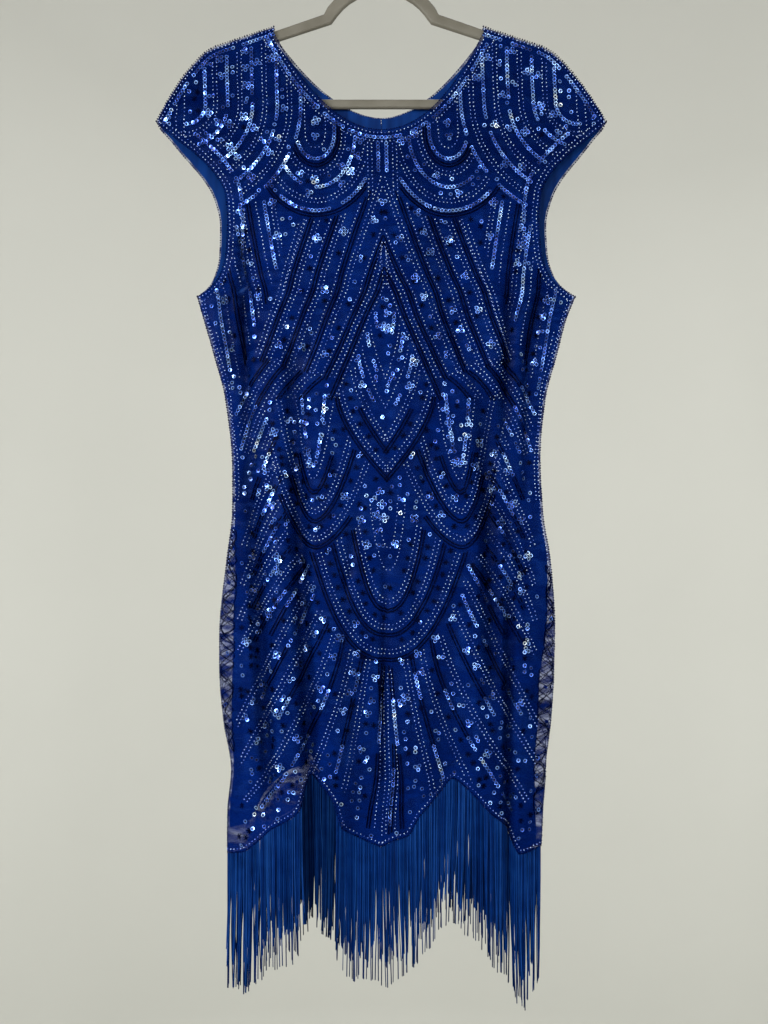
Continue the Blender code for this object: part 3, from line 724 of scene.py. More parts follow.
def net_finish():
    material, nodes, links, shader = new_finish("blue_net")
    uv, threads = weave(nodes, links, NET_PITCH)
    colour = ramp(nodes, links, noise(nodes, links, uv, 18), NET_TINTS)
    links.new(shaded(nodes, links, colour), shader.inputs["Base Color"])
    shader.inputs["Roughness"].default_value = 0.6
    shader.inputs["Specular IOR Level"].default_value = 0.0
    bumped(nodes, links, shader, threads, 0.08, 0.2)
    open_net = nodes.new("ShaderNodeBsdfTransparent")
    open_net.inputs["Color"].default_value = OPEN_NET
    woven = nodes.new("ShaderNodeMixShader")
    links.new(net_cover(nodes, links, uv, threads), woven.inputs["Fac"])
    links.new(open_net.outputs["BSDF"], woven.inputs[1])
    links.new(shader.outputs["BSDF"], woven.inputs[2])
    links.new(woven.outputs["Shader"], nodes["Material Output"].inputs["Surface"])
    return material


# %% Slip finish
SLIP_PITCH = 1.2
SLIP_TINTS = ((0.3, (0.0006, 0.0105, 0.068)), (0.7, (0.0024, 0.030, 0.160)))


def slip_finish():
    """Satin: faint streaks that run down the cloth."""
    material, nodes, links, shader = new_finish("blue_slip")
    uv, threads = weave(nodes, links, SLIP_PITCH)
    colour = ramp(nodes, links, streaks(nodes, links, uv, 75, 8), SLIP_TINTS)
    links.new(shaded(nodes, links, colour), shader.inputs["Base Color"])
    shader.inputs["Roughness"].default_value = 0.42
    shader.inputs["Specular IOR Level"].default_value = 0.04
    bumped(nodes, links, shader, threads, 0.1, 0.2)
    return material


# %% The four panels
NET_STEPS, LINING_STEPS = 8, 6
LINING_ROWS_END = 880


def rows_through(counts, last):
    """Drops of a panel's rows: yoke, then armhole, then side seam, each at its own pitch."""
    yoke, hole, side = counts
    return np.concatenate([np.linspace(YOKE, SLIT_END, yoke)[:-1],
                           np.linspace(SLIT_END, UNDERARM, hole)[:-1],
                           np.linspace(UNDERARM, last, side)])


NET_ROWS = rows_through((9, 15, 66), HEM_TOP)
LINING_ROWS = rows_through((6, 9, 38), LINING_ROWS_END)
blue_net, blue_slip = net_finish(), slip_finish()
net, lining = {}, {}
for face in ("front", "back"):
    net[face] = closed_wall("net_" + face, *panel_grid(face, NET, NET_STEPS, NET_ROWS),
                            face, blue_net)
    lining[face] = closed_wall("slip_" + face,
                               *panel_grid(face, LINING, LINING_STEPS, LINING_ROWS),
                               face, blue_slip)
    for piece in (net[face], lining[face]):
        area = sum(polygon.area for polygon in piece.data.polygons)
        print(piece.name, "area of both faces", round(area, 4), "square metres")

# %% [markdown]
# ## Sewing with Geometry Nodes
# A beader couches a string of beads along a drawn line. Here the lines are thin paths
# that lie on the cloth and know which way the cloth faces. One node tree walks along
# each path at a pitch, sets a bead at each step and tilts it a little.

# %% Points on the cloth
def cloth_surface(across, drop, face):
    """Height of the net above the seam plane, over the shoulder and down the body."""
    beside = across - lean(drop)
    out = np.abs(beside)
    below = (drop - shoulder_drop(out)) * np.cos(shoulder_tilt(out))
    share = np.clip(beside / half_width(drop, face), -1, 1)
    flat = stand_off(share, across, drop, face, NET)
    bend = np.sqrt(np.maximum(FOLD_OVER ** 2 - (FOLD_OVER - np.clip(below, 0, FOLD_OVER)) ** 2, 0))
    return np.where(below < FOLD_OVER, bend, flat)


SLOPE_STEP = 0.4


def on_cloth(across, drop, face, lift):
    """Points on the net in metres, and the directions they face."""
    side = -1 if face == "front" else 1
    step = SLOPE_STEP
    off = cloth_surface(across, drop, face)
    slope_across = (cloth_surface(across + step, drop, face)
                    - cloth_surface(across - step, drop, face)) / (2 * step)
    slope_down = (cloth_surface(across, drop + step, face)
                  - cloth_surface(across, drop - step, face)) / (2 * step)
    facing = np.stack([-slope_across, np.full_like(off, side), slope_down], -1)
    facing /= np.linalg.norm(facing, axis=-1, keepdims=True)
    return place(across, drop, off, face) + facing * lift * MM, facing


# %% [markdown]
# ### The trees
# Two kinds of tree do all the sewing. One sets beads, at a pitch along paths or at loose
# points, turns each to face away from the cloth, tilts it a little by chance and varies
# its size. The other gives the paths of the fringe a round thickness. Both end in plain
# mesh with a finish, so nothing of the trees has to be kept.

# %% Parts of a tree
SEWING_VALUES = (("Bead", "Object"), ("Pitch", "Float"), ("Size", "Float"),
                 ("Size spread", "Float"), ("Tilt", "Float"), ("Seed", "Int"),
                 ("Finish", "Material"))
THREAD_VALUES = (("Radius", "Float"), ("Sides", "Int"), ("Finish", "Material"))
HELPER_VALUES = ("facing", "along", "width")
SHARP_BEAD = math.radians(30)


def new_tree(name, inputs):
    """An empty node tree with named inputs; returns it and its input and output nodes."""
    tree = bpy.data.node_groups.new(name, "GeometryNodeTree")
    tree.interface.new_socket("Geometry", in_out="INPUT", socket_type="NodeSocketGeometry")
    for label, kind in inputs:
        tree.interface.new_socket(label, in_out="INPUT", socket_type="NodeSocket" + kind)
    tree.interface.new_socket("Geometry", in_out="OUTPUT", socket_type="NodeSocketGeometry")
    return tree, tree.nodes.new("NodeGroupInput"), tree.nodes.new("NodeGroupOutput")


def named_value(tree, name, kind="FLOAT_VECTOR"):
    """A value that the source mesh holds for each of its points."""
    node = tree.nodes.new("GeometryNodeInputNamedAttribute")
    node.data_type = kind
    node.inputs["Name"].default_value = name
    return node.outputs["Attribute"]


def random_value(tree, kind, low, high, seed, number):
    """A random node; its seed is the tree's own seed plus a number."""
    node = tree.nodes.new("FunctionNodeRandomValue")
    node.data_type = kind
    lows = [socket for socket in node.inputs if socket.name == "Min" and socket.enabled]
    highs = [socket for socket in node.inputs if socket.name == "Max" and socket.enabled]
    for sockets, value in ((lows, low), (highs, high)):
        if isinstance(value, bpy.types.NodeSocket):
            tree.links.new(value, sockets[0])
        else:
            sockets[0].default_value = value
    tree.links.new(math_node(tree.nodes, tree.links, "ADD", seed, number), node.inputs["Seed"])
    return next(socket for socket in node.outputs if socket.enabled)


def finish_tree(tree, geometry, given, result):
    """Every tree ends the same way: real mesh, then its finish."""
    real = tree.nodes.new("GeometryNodeRealizeInstances")
    finish = tree.nodes.new("GeometryNodeSetMaterial")
    tree.links.new(geometry, real.inputs["Geometry"])
    tree.links.new(real.outputs["Geometry"], finish.inputs["Geometry"])
    tree.links.new(given.outputs["Finish"], finish.inputs["Material"])
    tree.links.new(finish.outputs["Geometry"], result.inputs["Geometry"])
    return tree


# %% The sewing trees
def sewing_tree(along_paths):
    """Beads at a pitch along paths, or at loose points."""
    tree, given, result = new_tree("sew_along_paths" if along_paths else "sew_at_points",
                                   SEWING_VALUES)
    nodes, links = tree.nodes, tree.links
    points = given.outputs["Geometry"]
    if along_paths:
        to_curve = nodes.new("GeometryNodeMeshToCurve")
        steps = nodes.new("GeometryNodeResampleCurve")
        steps.mode = "LENGTH"
        links.new(points, to_curve.inputs["Mesh"])
        links.new(to_curve.outputs["Curve"], steps.inputs["Curve"])
        links.new(given.outputs["Pitch"], steps.inputs["Length"])
        points = steps.outputs["Curve"]
        along = nodes.new("GeometryNodeInputTangent").outputs["Tangent"]
    else:
        along = named_value(tree, "along")
    turn = nodes.new("FunctionNodeAxesToRotation")
    turn.primary_axis, turn.secondary_axis = "Z", "X"
    links.new(named_value(tree, "facing"), turn.inputs["Primary Axis"])
    links.new(along, turn.inputs["Secondary Axis"])
    most = nodes.new("ShaderNodeCombineXYZ")
    least = nodes.new("ShaderNodeCombineXYZ")
    other_way = math_node(nodes, links, "MULTIPLY", given.outputs["Tilt"], -1)
    for axis in ("X", "Y"):
        links.new(given.outputs["Tilt"], most.inputs[axis])
        links.new(other_way, least.inputs[axis])
    lean_by = random_value(tree, "FLOAT_VECTOR", least.outputs[0], most.outputs[0],
                           given.outputs["Seed"], 0)
    as_turn = nodes.new("FunctionNodeEulerToRotation")
    links.new(lean_by, as_turn.inputs["Euler"])
    tilted = nodes.new("FunctionNodeRotateRotation")
    tilted.rotation_space = "LOCAL"
    links.new(turn.outputs["Rotation"], tilted.inputs["Rotation"])
    links.new(as_turn.outputs["Rotation"], tilted.inputs["Rotate By"])
    small = math_node(nodes, links, "SUBTRACT", given.outputs["Size"],
                      given.outputs["Size spread"])
    size = random_value(tree, "FLOAT", small, given.outputs["Size"], given.outputs["Seed"], 1)
    bead = nodes.new("GeometryNodeObjectInfo")
    bead.inputs["As Instance"].default_value = True
    links.new(given.outputs["Bead"], bead.inputs["Object"])
    sew = nodes.new("GeometryNodeInstanceOnPoints")
    links.new(points, sew.inputs["Points"])
    links.new(bead.outputs["Geometry"], sew.inputs["Instance"])
    links.new(tilted.outputs["Rotation"], sew.inputs["Rotation"])
    links.new(size, sew.inputs["Scale"])
    return finish_tree(tree, sew.outputs["Instances"], given, result)


def strand_tree():
    """Round threads along paths, thinner towards their ends."""
    tree, given, result = new_tree("thread_paths", THREAD_VALUES)
    nodes, links = tree.nodes, tree.links
    to_curve = nodes.new("GeometryNodeMeshToCurve")
    profile_ring = nodes.new("GeometryNodeCurvePrimitiveCircle")
    tube = nodes.new("GeometryNodeCurveToMesh")
    tube.inputs["Fill Caps"].default_value = True
    links.new(given.outputs["Geometry"], to_curve.inputs["Mesh"])
    links.new(given.outputs["Sides"], profile_ring.inputs["Resolution"])
    links.new(given.outputs["Radius"], profile_ring.inputs["Radius"])
    links.new(to_curve.outputs["Curve"], tube.inputs["Curve"])
    links.new(profile_ring.outputs["Curve"], tube.inputs["Profile Curve"])
    links.new(named_value(tree, "width", "FLOAT"), tube.inputs["Scale"])
    return finish_tree(tree, tube.outputs["Mesh"], given, result)


sew_along, sew_at, thread_along = sewing_tree(True), sewing_tree(False), strand_tree()


# %% Run a tree
def made_by(name, source, tree, values):
    """Runs a tree on a source mesh and keeps the result as a plain mesh object."""
    helper = bpy.data.objects.new(name + "_source", source)
    scene.collection.objects.link(helper)
    modifier = helper.modifiers.new("sewing", "NODES")
    modifier.node_group = tree
    for item in tree.interface.items_tree:
        if item.item_type == "SOCKET" and item.in_out == "INPUT" and item.name in values:
            modifier[item.identifier] = values[item.name]
    evaluated = helper.evaluated_get(bpy.context.evaluated_depsgraph_get())
    mesh = bpy.data.meshes.new_from_object(evaluated)
    bpy.data.objects.remove(helper, do_unlink=True)
    bpy.data.meshes.remove(source)
    mesh.name = name
    for name_of_helper in [held.name for held in mesh.attributes if held.name in HELPER_VALUES]:
        mesh.attributes.remove(mesh.attributes[name_of_helper])
    mesh.shade_smooth()
    mesh.set_sharp_from_angle(angle=SHARP_BEAD)
    made = bpy.data.objects.new(name, mesh)
    scene.collection.objects.link(made)
    triangles = sum(len(polygon.vertices) - 2 for polygon in mesh.polygons)
    print(f"{name}: {triangles} triangles")
    return made


# %% [markdown]
# ## Fringe
# Machine-made fringe is a row of fine viscose strands held by a narrow braid that is
# sewn under the scalloped edge. Each strand hangs straight but wavers a little, and
# the cut ends are uneven. Paths for the strands are drawn here and a node tree gives
# them their thickness.

# %% Measures of the fringe
FRINGE_LENGTHS = table("out left right", (
    (0, 144, 144), (78, 153, 150), (118, 147, 155), (150, 147, 165), (180, 146, 131)))
fringe_left, fringe_right = curve(FRINGE_LENGTHS, "left"), curve(FRINGE_LENGTHS, "right")
STRAND_PITCH, STRAND_RADIUS = 0.62, 0.6
STRAND_SIDES, STRAND_STEPS = 4, 9
STRAND_TAPER = 0.06
FRINGE_INSET, FRINGE_UNDER, FRINGE_BELOW = 0.8, 0.5, 0.6
LAYER_GAP = 1.1
# the share of strands that reach the end, and how much the others lack
WHOLE_STRANDS = 0.27
SHORT_BY, SHORT_IN_RECESS = (20, 42), (4, 18)
# a stretch of the front that hangs behind the rest, in shadow
RECESS, RECESS_DEPTH, RECESS_SHADE = (-86.0, -48.0), 5.0, 0.52
TUFT_SEED, TUFT_WIDTHS = 21, (3.0, 9.0)
TUFTED_OUT, TUFTING_OUT, TUFTING = 135, 0.95, 0.55
TIP_SHADE, TIP_START, TIP_FADE = 0.55, 0.68, 0.32
STRAND_TINTS = ((0.12, (0.0001, 0.0040, 0.032)), (0.55, (0.0003, 0.0150, 0.105)),
                (0.98, (0.006, 0.044, 0.20)))
STRAND_CHANCE, STRAND_CLOUDS = 0.7, 0.5


# %% Fringe finish
def fringe_finish():
    """Viscose: each strand has its own blue, and soft clouds drift over them."""
    material, nodes, links, shader = new_finish("fringe_strands")
    clouds = math_node(nodes, links, "MULTIPLY", noise(nodes, links, own_place(nodes), 60),
                       STRAND_CLOUDS)
    mixed = math_node(nodes, links, "MULTIPLY_ADD", each_island(nodes), STRAND_CHANCE, clouds)
    colour = ramp(nodes, links, mixed, STRAND_TINTS)
    links.new(shaded(nodes, links, colour), shader.inputs["Base Color"])
    shader.inputs["Roughness"].default_value = 0.42
    shader.inputs["Specular IOR Level"].default_value = 0.03
    return material


# %% Paths of the strands
def hem_edge(face, shares):
    """Place across and drop of the net's hem for shares of the half width."""
    hem = np.full(len(shares), HEM_TOP)
    for _ in range(HEM_ROUNDS + 1):
        hem = hem_drop(lean(hem) + shares * half_width(hem, face))
    return lean(hem) + shares * half_width(hem, face), hem


def tuft_places(roots, random):
    """Where strands drift to: uneven tufts a few millimetres apart."""
    tufts = [roots[0]]
    while tufts[-1] < roots[-1]:
        tufts.append(tufts[-1] + random.uniform(*TUFT_WIDTHS))
    tufts = np.array(tufts)
    return tufts[np.argmin(np.abs(roots[:, None] - tufts[None, :]), axis=1)]


def strand_lengths(roots, whole, behind, random):
    """The braid's own curve and ripple, and then a cut that comes short by chance."""
    length = np.where(roots < 0, fringe_left(-roots), fringe_right(roots))
    length = length + 3.0 * np.sin(roots / 6.1) + 2.0 * np.sin(roots / 2.7)
    count = len(roots)
    missing = np.where(behind, random.uniform(*SHORT_IN_RECESS, count),
                       random.uniform(*SHORT_BY, count))
    return length + np.where(whole, 5.0 - random.exponential(3.0, count), -missing)


def strand_sway(roots, whole, random):
    """How far a strand's end hangs beside its root: slow waves, chance and its tuft."""
    waves = 1.6 * np.sin(roots / 19.0 + 0.6) + 0.7 * np.sin(roots / 7.3)
    sway = waves + random.normal(0, 0.5, len(roots))
    tufts = tuft_places(roots, np.random.default_rng(TUFT_SEED))
    draw_in = np.where(np.abs(roots) > TUFTED_OUT, TUFTING_OUT, TUFTING)
    return sway + draw_in * np.where(whole, 0.5, 1.0) * (tufts - roots)


def fringe_source(face, seed):
    """Paths of all strands on one face: a few reach the end, most stop short of it."""
    random = np.random.default_rng(seed)
    shares = np.linspace(-1, 1, 4000)
    across, drop = hem_edge(face, shares)
    roots = np.arange(across[0] + FRINGE_INSET, across[-1] - FRINGE_INSET, STRAND_PITCH)
    roots = roots + random.normal(0, 0.08, len(roots))
    count = len(roots)
    root_drop = np.interp(roots, across, drop)
    off = stand_off(np.interp(roots, across, shares), roots, root_drop, face, NET) - FRINGE_UNDER
    whole = random.random(count) < WHOLE_STRANDS
    behind = (roots > RECESS[0]) & (roots < RECESS[1]) & (face == "front")
    length = strand_lengths(roots, whole, behind, random)
    sway = strand_sway(roots, whole, random)
    waver = np.where(whole, 0.55, 0.2)[:, None] * random.normal(0, 1, (count, 1))
    layer = np.where(np.arange(count) % 2, 0.0, LAYER_GAP)
    t = np.linspace(0, 1, STRAND_STEPS)[None, :]
    x = roots[:, None] + sway[:, None] * t ** 1.8
    x = x + waver * np.sin(t * 6 + random.uniform(0, 6, (count, 1)))
    d = root_drop[:, None] + FRINGE_BELOW + length[:, None] * t
    y = (off - layer)[:, None] + random.uniform(-1.2, 0.5, (count, 1)) * ease(t * 3)
    y = y - RECESS_DEPTH * behind[:, None] * ease(t * 4)
    points = place(x, d, y, face).reshape(-1, 3)
    first = np.arange(count)[:, None] * STRAND_STEPS + np.arange(STRAND_STEPS - 1)[None, :]
    edges = np.stack([first.ravel(), first.ravel() + 1], 1).tolist()
    source = bpy.data.meshes.new("strands")
    source.from_pydata(points.tolist(), edges, [])
    keep_values(source, "width", (1.0 - STRAND_TAPER * t ** 2 * np.ones((count, 1))).ravel())
    tips = 1 - TIP_SHADE * whole[:, None] * ease((t - TIP_START) / TIP_FADE)
    keep_values(source, "shade", (np.where(behind, RECESS_SHADE, 1.0)[:, None] * tips).ravel())
    print("fringe", face, count, "strands, longest", round(float(length.max()), 1), "mm")
    return source


# %% Hang the fringe
strand_finish = fringe_finish()
fringe = {}
for face, seed in (("front", 11), ("back", 12)):
    fringe[face] = made_by(
        "fringe_strands_" + face, fringe_source(face, seed), thread_along,
        {"Radius": STRAND_RADIUS * MM, "Sides": STRAND_SIDES, "Finish": strand_finish})

# %% [markdown]
# ## Drawing the beading
# The beader's drawing is made flat, in places across from the dress's middle and drops,
# for one half, and then mirrored. Paths are short lists of points made smooth; a line is
# kept only where its own part of the design lies, so the parts meet but never cross.

# %% Paths in the flat
PATH_STEP = 2.0
LEAST_STRETCH = 7.0
SEED_STEP = 2.4
# keeps the slope of a path that stands still from being divided by nothing
LEAST_SLOPE = 1e-9


def evenly(path, step=PATH_STEP):
    """The same path with points a step apart."""
    path = np.asarray(path, float)
    along = np.concatenate([[0], np.cumsum(np.linalg.norm(np.diff(path, axis=0), axis=1))])
    places = np.linspace(0, along[-1], max(int(along[-1] / step), 2) + 1)
    return np.stack([np.interp(places, along, path[:, i]) for i in (0, 1)], 1)


def beside_path(path, offset):
    """A path moved sideways, to its left as it runs down."""
    slope = np.gradient(path, axis=0)
    slope /= np.linalg.norm(slope, axis=1, keepdims=True) + LEAST_SLOPE
    return path + offset * np.stack([slope[:, 1], -slope[:, 0]], 1)


def through(*points):
    """A smooth path through three points."""
    start, middle, end = (np.array(point, float) for point in points)
    pull = 2 * middle - (start + end) / 2
    t = np.linspace(0, 1, 60)[:, None]
    return start * (1 - t) ** 2 + 2 * pull * t * (1 - t) + end * t * t


def kept(path, inside):
    """The stretches of a path where the mask is true, without the very short ones."""
    path = evenly(path)
    mask = inside(path[:, 0], path[:, 1])
    turns = np.flatnonzero(np.diff(np.concatenate([[0], mask.astype(int), [0]])))
    return [path[start:end] for start, end in zip(turns[::2], turns[1::2])
            if (end - start) * PATH_STEP > LEAST_STRETCH]


# %% [markdown]
# ### Where beads may lie
# A mask tells for any place whether beads may be sewn there. One keeps them inside the
# net's edges by a margin, others bound a part of the design, and masks are combined.

# %% Masks
def on_panel(face, margin, hem_margin=9.0, sheer=True):
    """A mask for places inside a panel's edges by a margin."""
    def inside(beside, drop):
        out = np.abs(beside)
        below = (drop - shoulder_drop(out)) * np.cos(shoulder_tilt(out))
        edge = half_width(drop, face) if sheer else half_width(drop, face, LINING)
        neck_clear = (out > NECK_OUT) | (drop - neck_drop(np.minimum(out, NECK_OUT), face) > margin)
        return ((out < edge - margin) & (below > margin) & neck_clear
                & (drop < hem_drop(beside + lean(drop)) - hem_margin))
    return inside


def both(*masks):
    """A mask that is true where all the given ones are."""
    return lambda out, drop: np.logical_and.reduce([mask(out, drop) for mask in masks])


CAP_CENTRE = (213.0, 208.0)
CAP_REACH = 126.0
ARCH_CENTRE = (72.0, 242.0)
ARCH_OUTER = (78.0, 90.0)


def cap_radius(out, drop):
    """Distance of a place from the cap's drawing centre; straight above it."""
    away = CAP_CENTRE[0] - out
    down = np.maximum(drop - CAP_CENTRE[1], 0)
    return np.where(away > 0, np.hypot(away, down), down)


def yoke_bottom(out):
    """Lower edge of the yoke: the arches in the middle, the caps' bands outside."""
    share = np.clip(np.abs(out - ARCH_CENTRE[0]) / ARCH_OUTER[0], 0, 1)
    arch = ARCH_CENTRE[1] + ARCH_OUTER[1] * np.sqrt(1 - share ** 2)
    away = np.clip((CAP_CENTRE[0] - out) / CAP_REACH, -1, 1)
    cap = CAP_CENTRE[1] + CAP_REACH * np.sqrt(1 - away ** 2)
    return np.maximum(arch, np.where(out > CAP_CENTRE[0] - CAP_REACH, cap, 0))


# %% [markdown]
# ### The beader's book
# All that is to be sewn on one face is written in a book first: paths for strings of
# beads, and points for loose sequins and stars. Each way of sewing is one line in the
# drawing. Chance moves seeds a little and decides where strings of sequins stop, as
# nobody sews quite evenly by hand.

# %% A book of what is sewn where
SEED_WANDER, LOOSE_WANDER = 0.3, 0.7
CLUSTER_COUNTS, CLUSTER_CHANCES = (1, 2, 3, 4), (0.18, 0.27, 0.33, 0.22)
CLUSTER_REACH = (0, 2.2, 2.6, 3.15)
DARK_LINES = (-1.5, 1.5)


class Beading:
    """Paths and points of one face, each as (across from the middle, drop)."""

    def __init__(self, face, seed):
        self.face = face
        self.random = np.random.default_rng(seed)
        self.paths = {"seed": [], "sequin": [], "bugle": [], "rim": [], "thread": []}
        self.points = {"star": [], "sequin": []}

    def add(self, kind, path, inside, offset=0.0, sides=(1, -1)):
        """Sews one kind along a path's kept stretches, on both halves."""
        path = beside_path(evenly(path), offset) if offset else path
        for side in sides:
            for stretch in kept(path, inside):
                if kind == "seed":
                    stretch = stretch + self.random.normal(0, SEED_WANDER, stretch.shape)
                self.paths[kind].append(stretch * (side, 1))

    def chains(self, path, inside, offset=0.0, run=(14, 50), gap=(5, 18), sides=(1, -1)):
        """Strings of sequins that stop and start again."""
        path = beside_path(evenly(path), offset) if offset else path
        for side in sides:
            for stretch in kept(path, inside):
                at = 0
                while at < len(stretch):
                    end = at + int(self.random.uniform(*run) / PATH_STEP)
                    if len(stretch[at:end]) > 3:
                        self.paths["sequin"].append(stretch[at:end] * (side, 1))
                    at = end + int(self.random.uniform(*gap) / PATH_STEP)

    def seeds(self, path, inside, rows=2, offset=0.0, gap=4.4, sides=(1, -1)):
        """Single or staggered double rows of seed beads."""
        for row in range(rows):
            shift = offset + (row - (rows - 1) / 2) * gap
            self.add("seed", evenly(path, SEED_STEP)[row % 2:], inside, shift, sides)

    def dark(self, path, inside, offset=0.0, sides=(1, -1)):
        """A double line of dark bugle beads."""
        for shift in DARK_LINES:
            self.add("bugle", path, inside, offset + shift, sides)

    def along(self, path, inside, pitch, skip=0.0):
        """Places at a pitch along a path's kept stretches, some left out."""
        for side in (1, -1):
            for stretch in kept(path, inside):
                for at in evenly(stretch, pitch)[:-1]:
                    if self.random.random() >= skip:
                        yield (at + self.random.normal(0, LOOSE_WANDER, 2)) * (side, 1)

    def stars(self, path, inside, pitch=15.0, skip=0.15):
        """Dark stars, a few of them left out."""
        self.points["star"] += list(self.along(path, inside, pitch, skip))

    def clusters(self, path, inside, pitch=14.0, skip=0.12):
        """One to four sequins that just touch."""
        for centre in self.along(path, inside, pitch, skip):
            count = self.random.choice(CLUSTER_COUNTS, p=CLUSTER_CHANCES)
            turn = self.random.uniform(0, 2 * math.pi)
            reach = CLUSTER_REACH[count - 1]
            for i in range(count):
                angle = turn + 2 * math.pi * i / count
                self.points["sequin"].append(
                    centre + reach * np.array([math.cos(angle), math.sin(angle)]))


# %% [markdown]
# ### Yoke
# The caps carry bands that run down from the shoulder and bend out to the armhole; each
# side of the middle has nested arches below the neck. Sequin strings and staggered
# seed rows take turns, with little clusters of sequins between them.

# %% Draw the yoke
def cap_band(radius):
    """From the shoulder straight down, then round to the armhole."""
    x, d = CAP_CENTRE
    turns = np.radians(np.linspace(0, 100, 40))
    return np.concatenate([[(x - radius, float(shoulder_drop(x - radius)))],
                           np.stack([x - radius * np.cos(turns), d + radius * np.sin(turns)], 1)])


def arch(width, depth):
    """From the neck down one side, round and up the other."""
    x, d = ARCH_CENTRE
    turns = np.linspace(0, math.pi, 50)
    bowl = np.stack([x - width * np.cos(turns), d + depth * np.sin(turns)], 1)
    return np.concatenate([[(x - width, NECK_TOP)], bowl, [(x + width, NECK_TOP)]])


YOKE_MARGIN, CAP_MARGIN = 15.5, 12.5
CAP_SEEDS = (33, 60, 87, 114)
CAP_SEQUINS = (22, 46.5, 73.5, 100.5)
CAP_CLUSTERS = (10, 27.5, 40, 53, 67, 80, 94, 107)
CAP_EDGE_LINES = ((222, "seed"), (213, "seed"), (230, "sequin"))
CAP_EDGE_LEAN, CAP_EDGE_END = 3, 246
# arches by width and depth: seeds with their rows, sequins with their runs and gaps
ARCH_SEEDS = ((11, 17, 1), (31, 45, 2), (56, 75, 2))
ARCH_SEQUINS = ((20.5, 29, (60, 140), (6, 14)), (43, 60, (40, 120), (6, 18)),
                (66, 86, (24, 70), (5, 16)))
ARCH_DARKS = ((25.5, 36), (70, 91))
ARCH_CLUSTERS = ((0.5, 6), (37, 52), (49.5, 67))


def draw_caps(book, panel):
    in_caps = both(panel, lambda out, drop: cap_radius(out, drop) < CAP_REACH)
    for radius in CAP_SEEDS:
        book.seeds(cap_band(radius), in_caps)
    for radius in CAP_SEQUINS:
        book.chains(cap_band(radius), in_caps, run=(50, 150), gap=(7, 18))
    for radius in CAP_CLUSTERS:
        book.clusters(cap_band(radius), in_caps, 17, 0.55)
    edge = on_panel(book.face, CAP_MARGIN)
    for out, kind in CAP_EDGE_LINES:
        line = [(out, float(shoulder_drop(out))), (out + CAP_EDGE_LEAN, CAP_EDGE_END)]
        if kind == "seed":
            book.seeds(line, edge, rows=1)
        else:
            book.chains(line, edge, run=(14, 30))
    book.chains(cap_band(CAP_REACH), panel, run=(30, 90), gap=(8, 20))


def draw_arches(book, panel):
    in_arches = both(panel, lambda out, drop: (cap_radius(out, drop) > CAP_REACH + 3) & (out > 19))
    for width, depth, rows in ARCH_SEEDS:
        book.seeds(arch(width, depth), in_arches, rows=rows)
    for width, depth, run, gap in ARCH_SEQUINS:
        book.chains(arch(width, depth), in_arches, run=run, gap=gap)
    for width, depth in ARCH_DARKS:
        book.dark(arch(width, depth), in_arches)
    for width, depth in ARCH_CLUSTERS:
        book.clusters(arch(width, depth), in_arches, 16, 0.3)


def draw_yoke(book):
    panel = on_panel(book.face, YOKE_MARGIN)
    draw_caps(book, panel)
    draw_arches(book, panel)
    middle = both(panel, lambda out, drop: drop < yoke_bottom(out) + 12)
    book.add("sequin", [(4.5, 200), (4.5, 284)], middle)
    book.seeds([(13.5, 200), (13.5, 330)], middle)


# %% [markdown]
# ### Body
# Below the yoke the lines stand as tall chevrons over nested petals and a shield, with
# fans at the sides. One band is used again and again: a double dark line, a staggered
# double row of seeds a little inside it, and dark stars on the far side.

# %% Curves of the body
def between(rows, k):
    """A row between two rows of a table, for a part number that isn't whole."""
    k = min(max(k, 0), len(rows) - 1)
    low = min(int(k), len(rows) - 2)
    return np.array(rows[low], float) * (low + 1 - k) + np.array(rows[low + 1], float) * (k - low)


# each family's rows run from its outermost curve inwards; a chevron's from the middle out
CHEVRONS = table("start slope end", (
    (-3.2, 0.405, 508), (30.0, 0.350, 500), (56, 0.36, 496), (82, 0.36, 488), (106, 0.32, 470)))
CORE = table("width top tip", (
    (52, 532, 618), (39, 508, 588), (29, 486, 556), (19, 462, 523), (10, 440, 490)))
PETALS = table("left right tip", ((84, 57, 692), (61, 42, 664), (40, 27, 633), (20, 14, 604)))
SHIELD = table("width rise tip", (
    (84, 118, 813), (62, 104, 786.5), (38, 84, 760), (24, 76, 731), (14, 64, 702), (7, 40, 672)))
PETAL_MIDDLE, PETAL_RISE = 80.0, 130.0
PETAL_ROUND, SHIELD_ROUND, CORE_ROUND = 0.55, 0.42, 1.5
CHEVRON_TOP, CHEVRON_LEVEL = 290, 350
CHEVRON_FLARE, FLARE_START = 0.0006, 430
LEG_TIP, LEG_SLOPE = 393, 0.43
TOWARDS_TIP = np.linspace(1, 0, 40) ** 1.5


def inner_leg(drop):
    """Place across of the inner chevron, which stands under the first."""
    return LEG_SLOPE * (drop - LEG_TIP)


def chevron(k):
    """A long leg that slants out and flares a little towards the waist."""
    start, slope, end = between(CHEVRONS, k)
    drops = np.linspace(CHEVRON_TOP, end, 50)
    flare = CHEVRON_FLARE * np.maximum(drops - FLARE_START, 0) ** 2
    return np.stack([start + slope * (drops - CHEVRON_LEVEL) + flare, drops], 1)


def core_edge(drop, k=0.0):
    """Half the width of a leaf at a drop."""
    width, top, tip = between(CORE, k)
    share = np.clip((drop - top) / (tip - top), 0, 1)
    return width * (1 - share ** CORE_ROUND)


def core(k):
    """One side of the pointed leaf between the chevrons."""
    width, top, tip = between(CORE, k)
    drops = np.linspace(top, tip, 40)
    return np.stack([core_edge(drops, k), drops], 1)


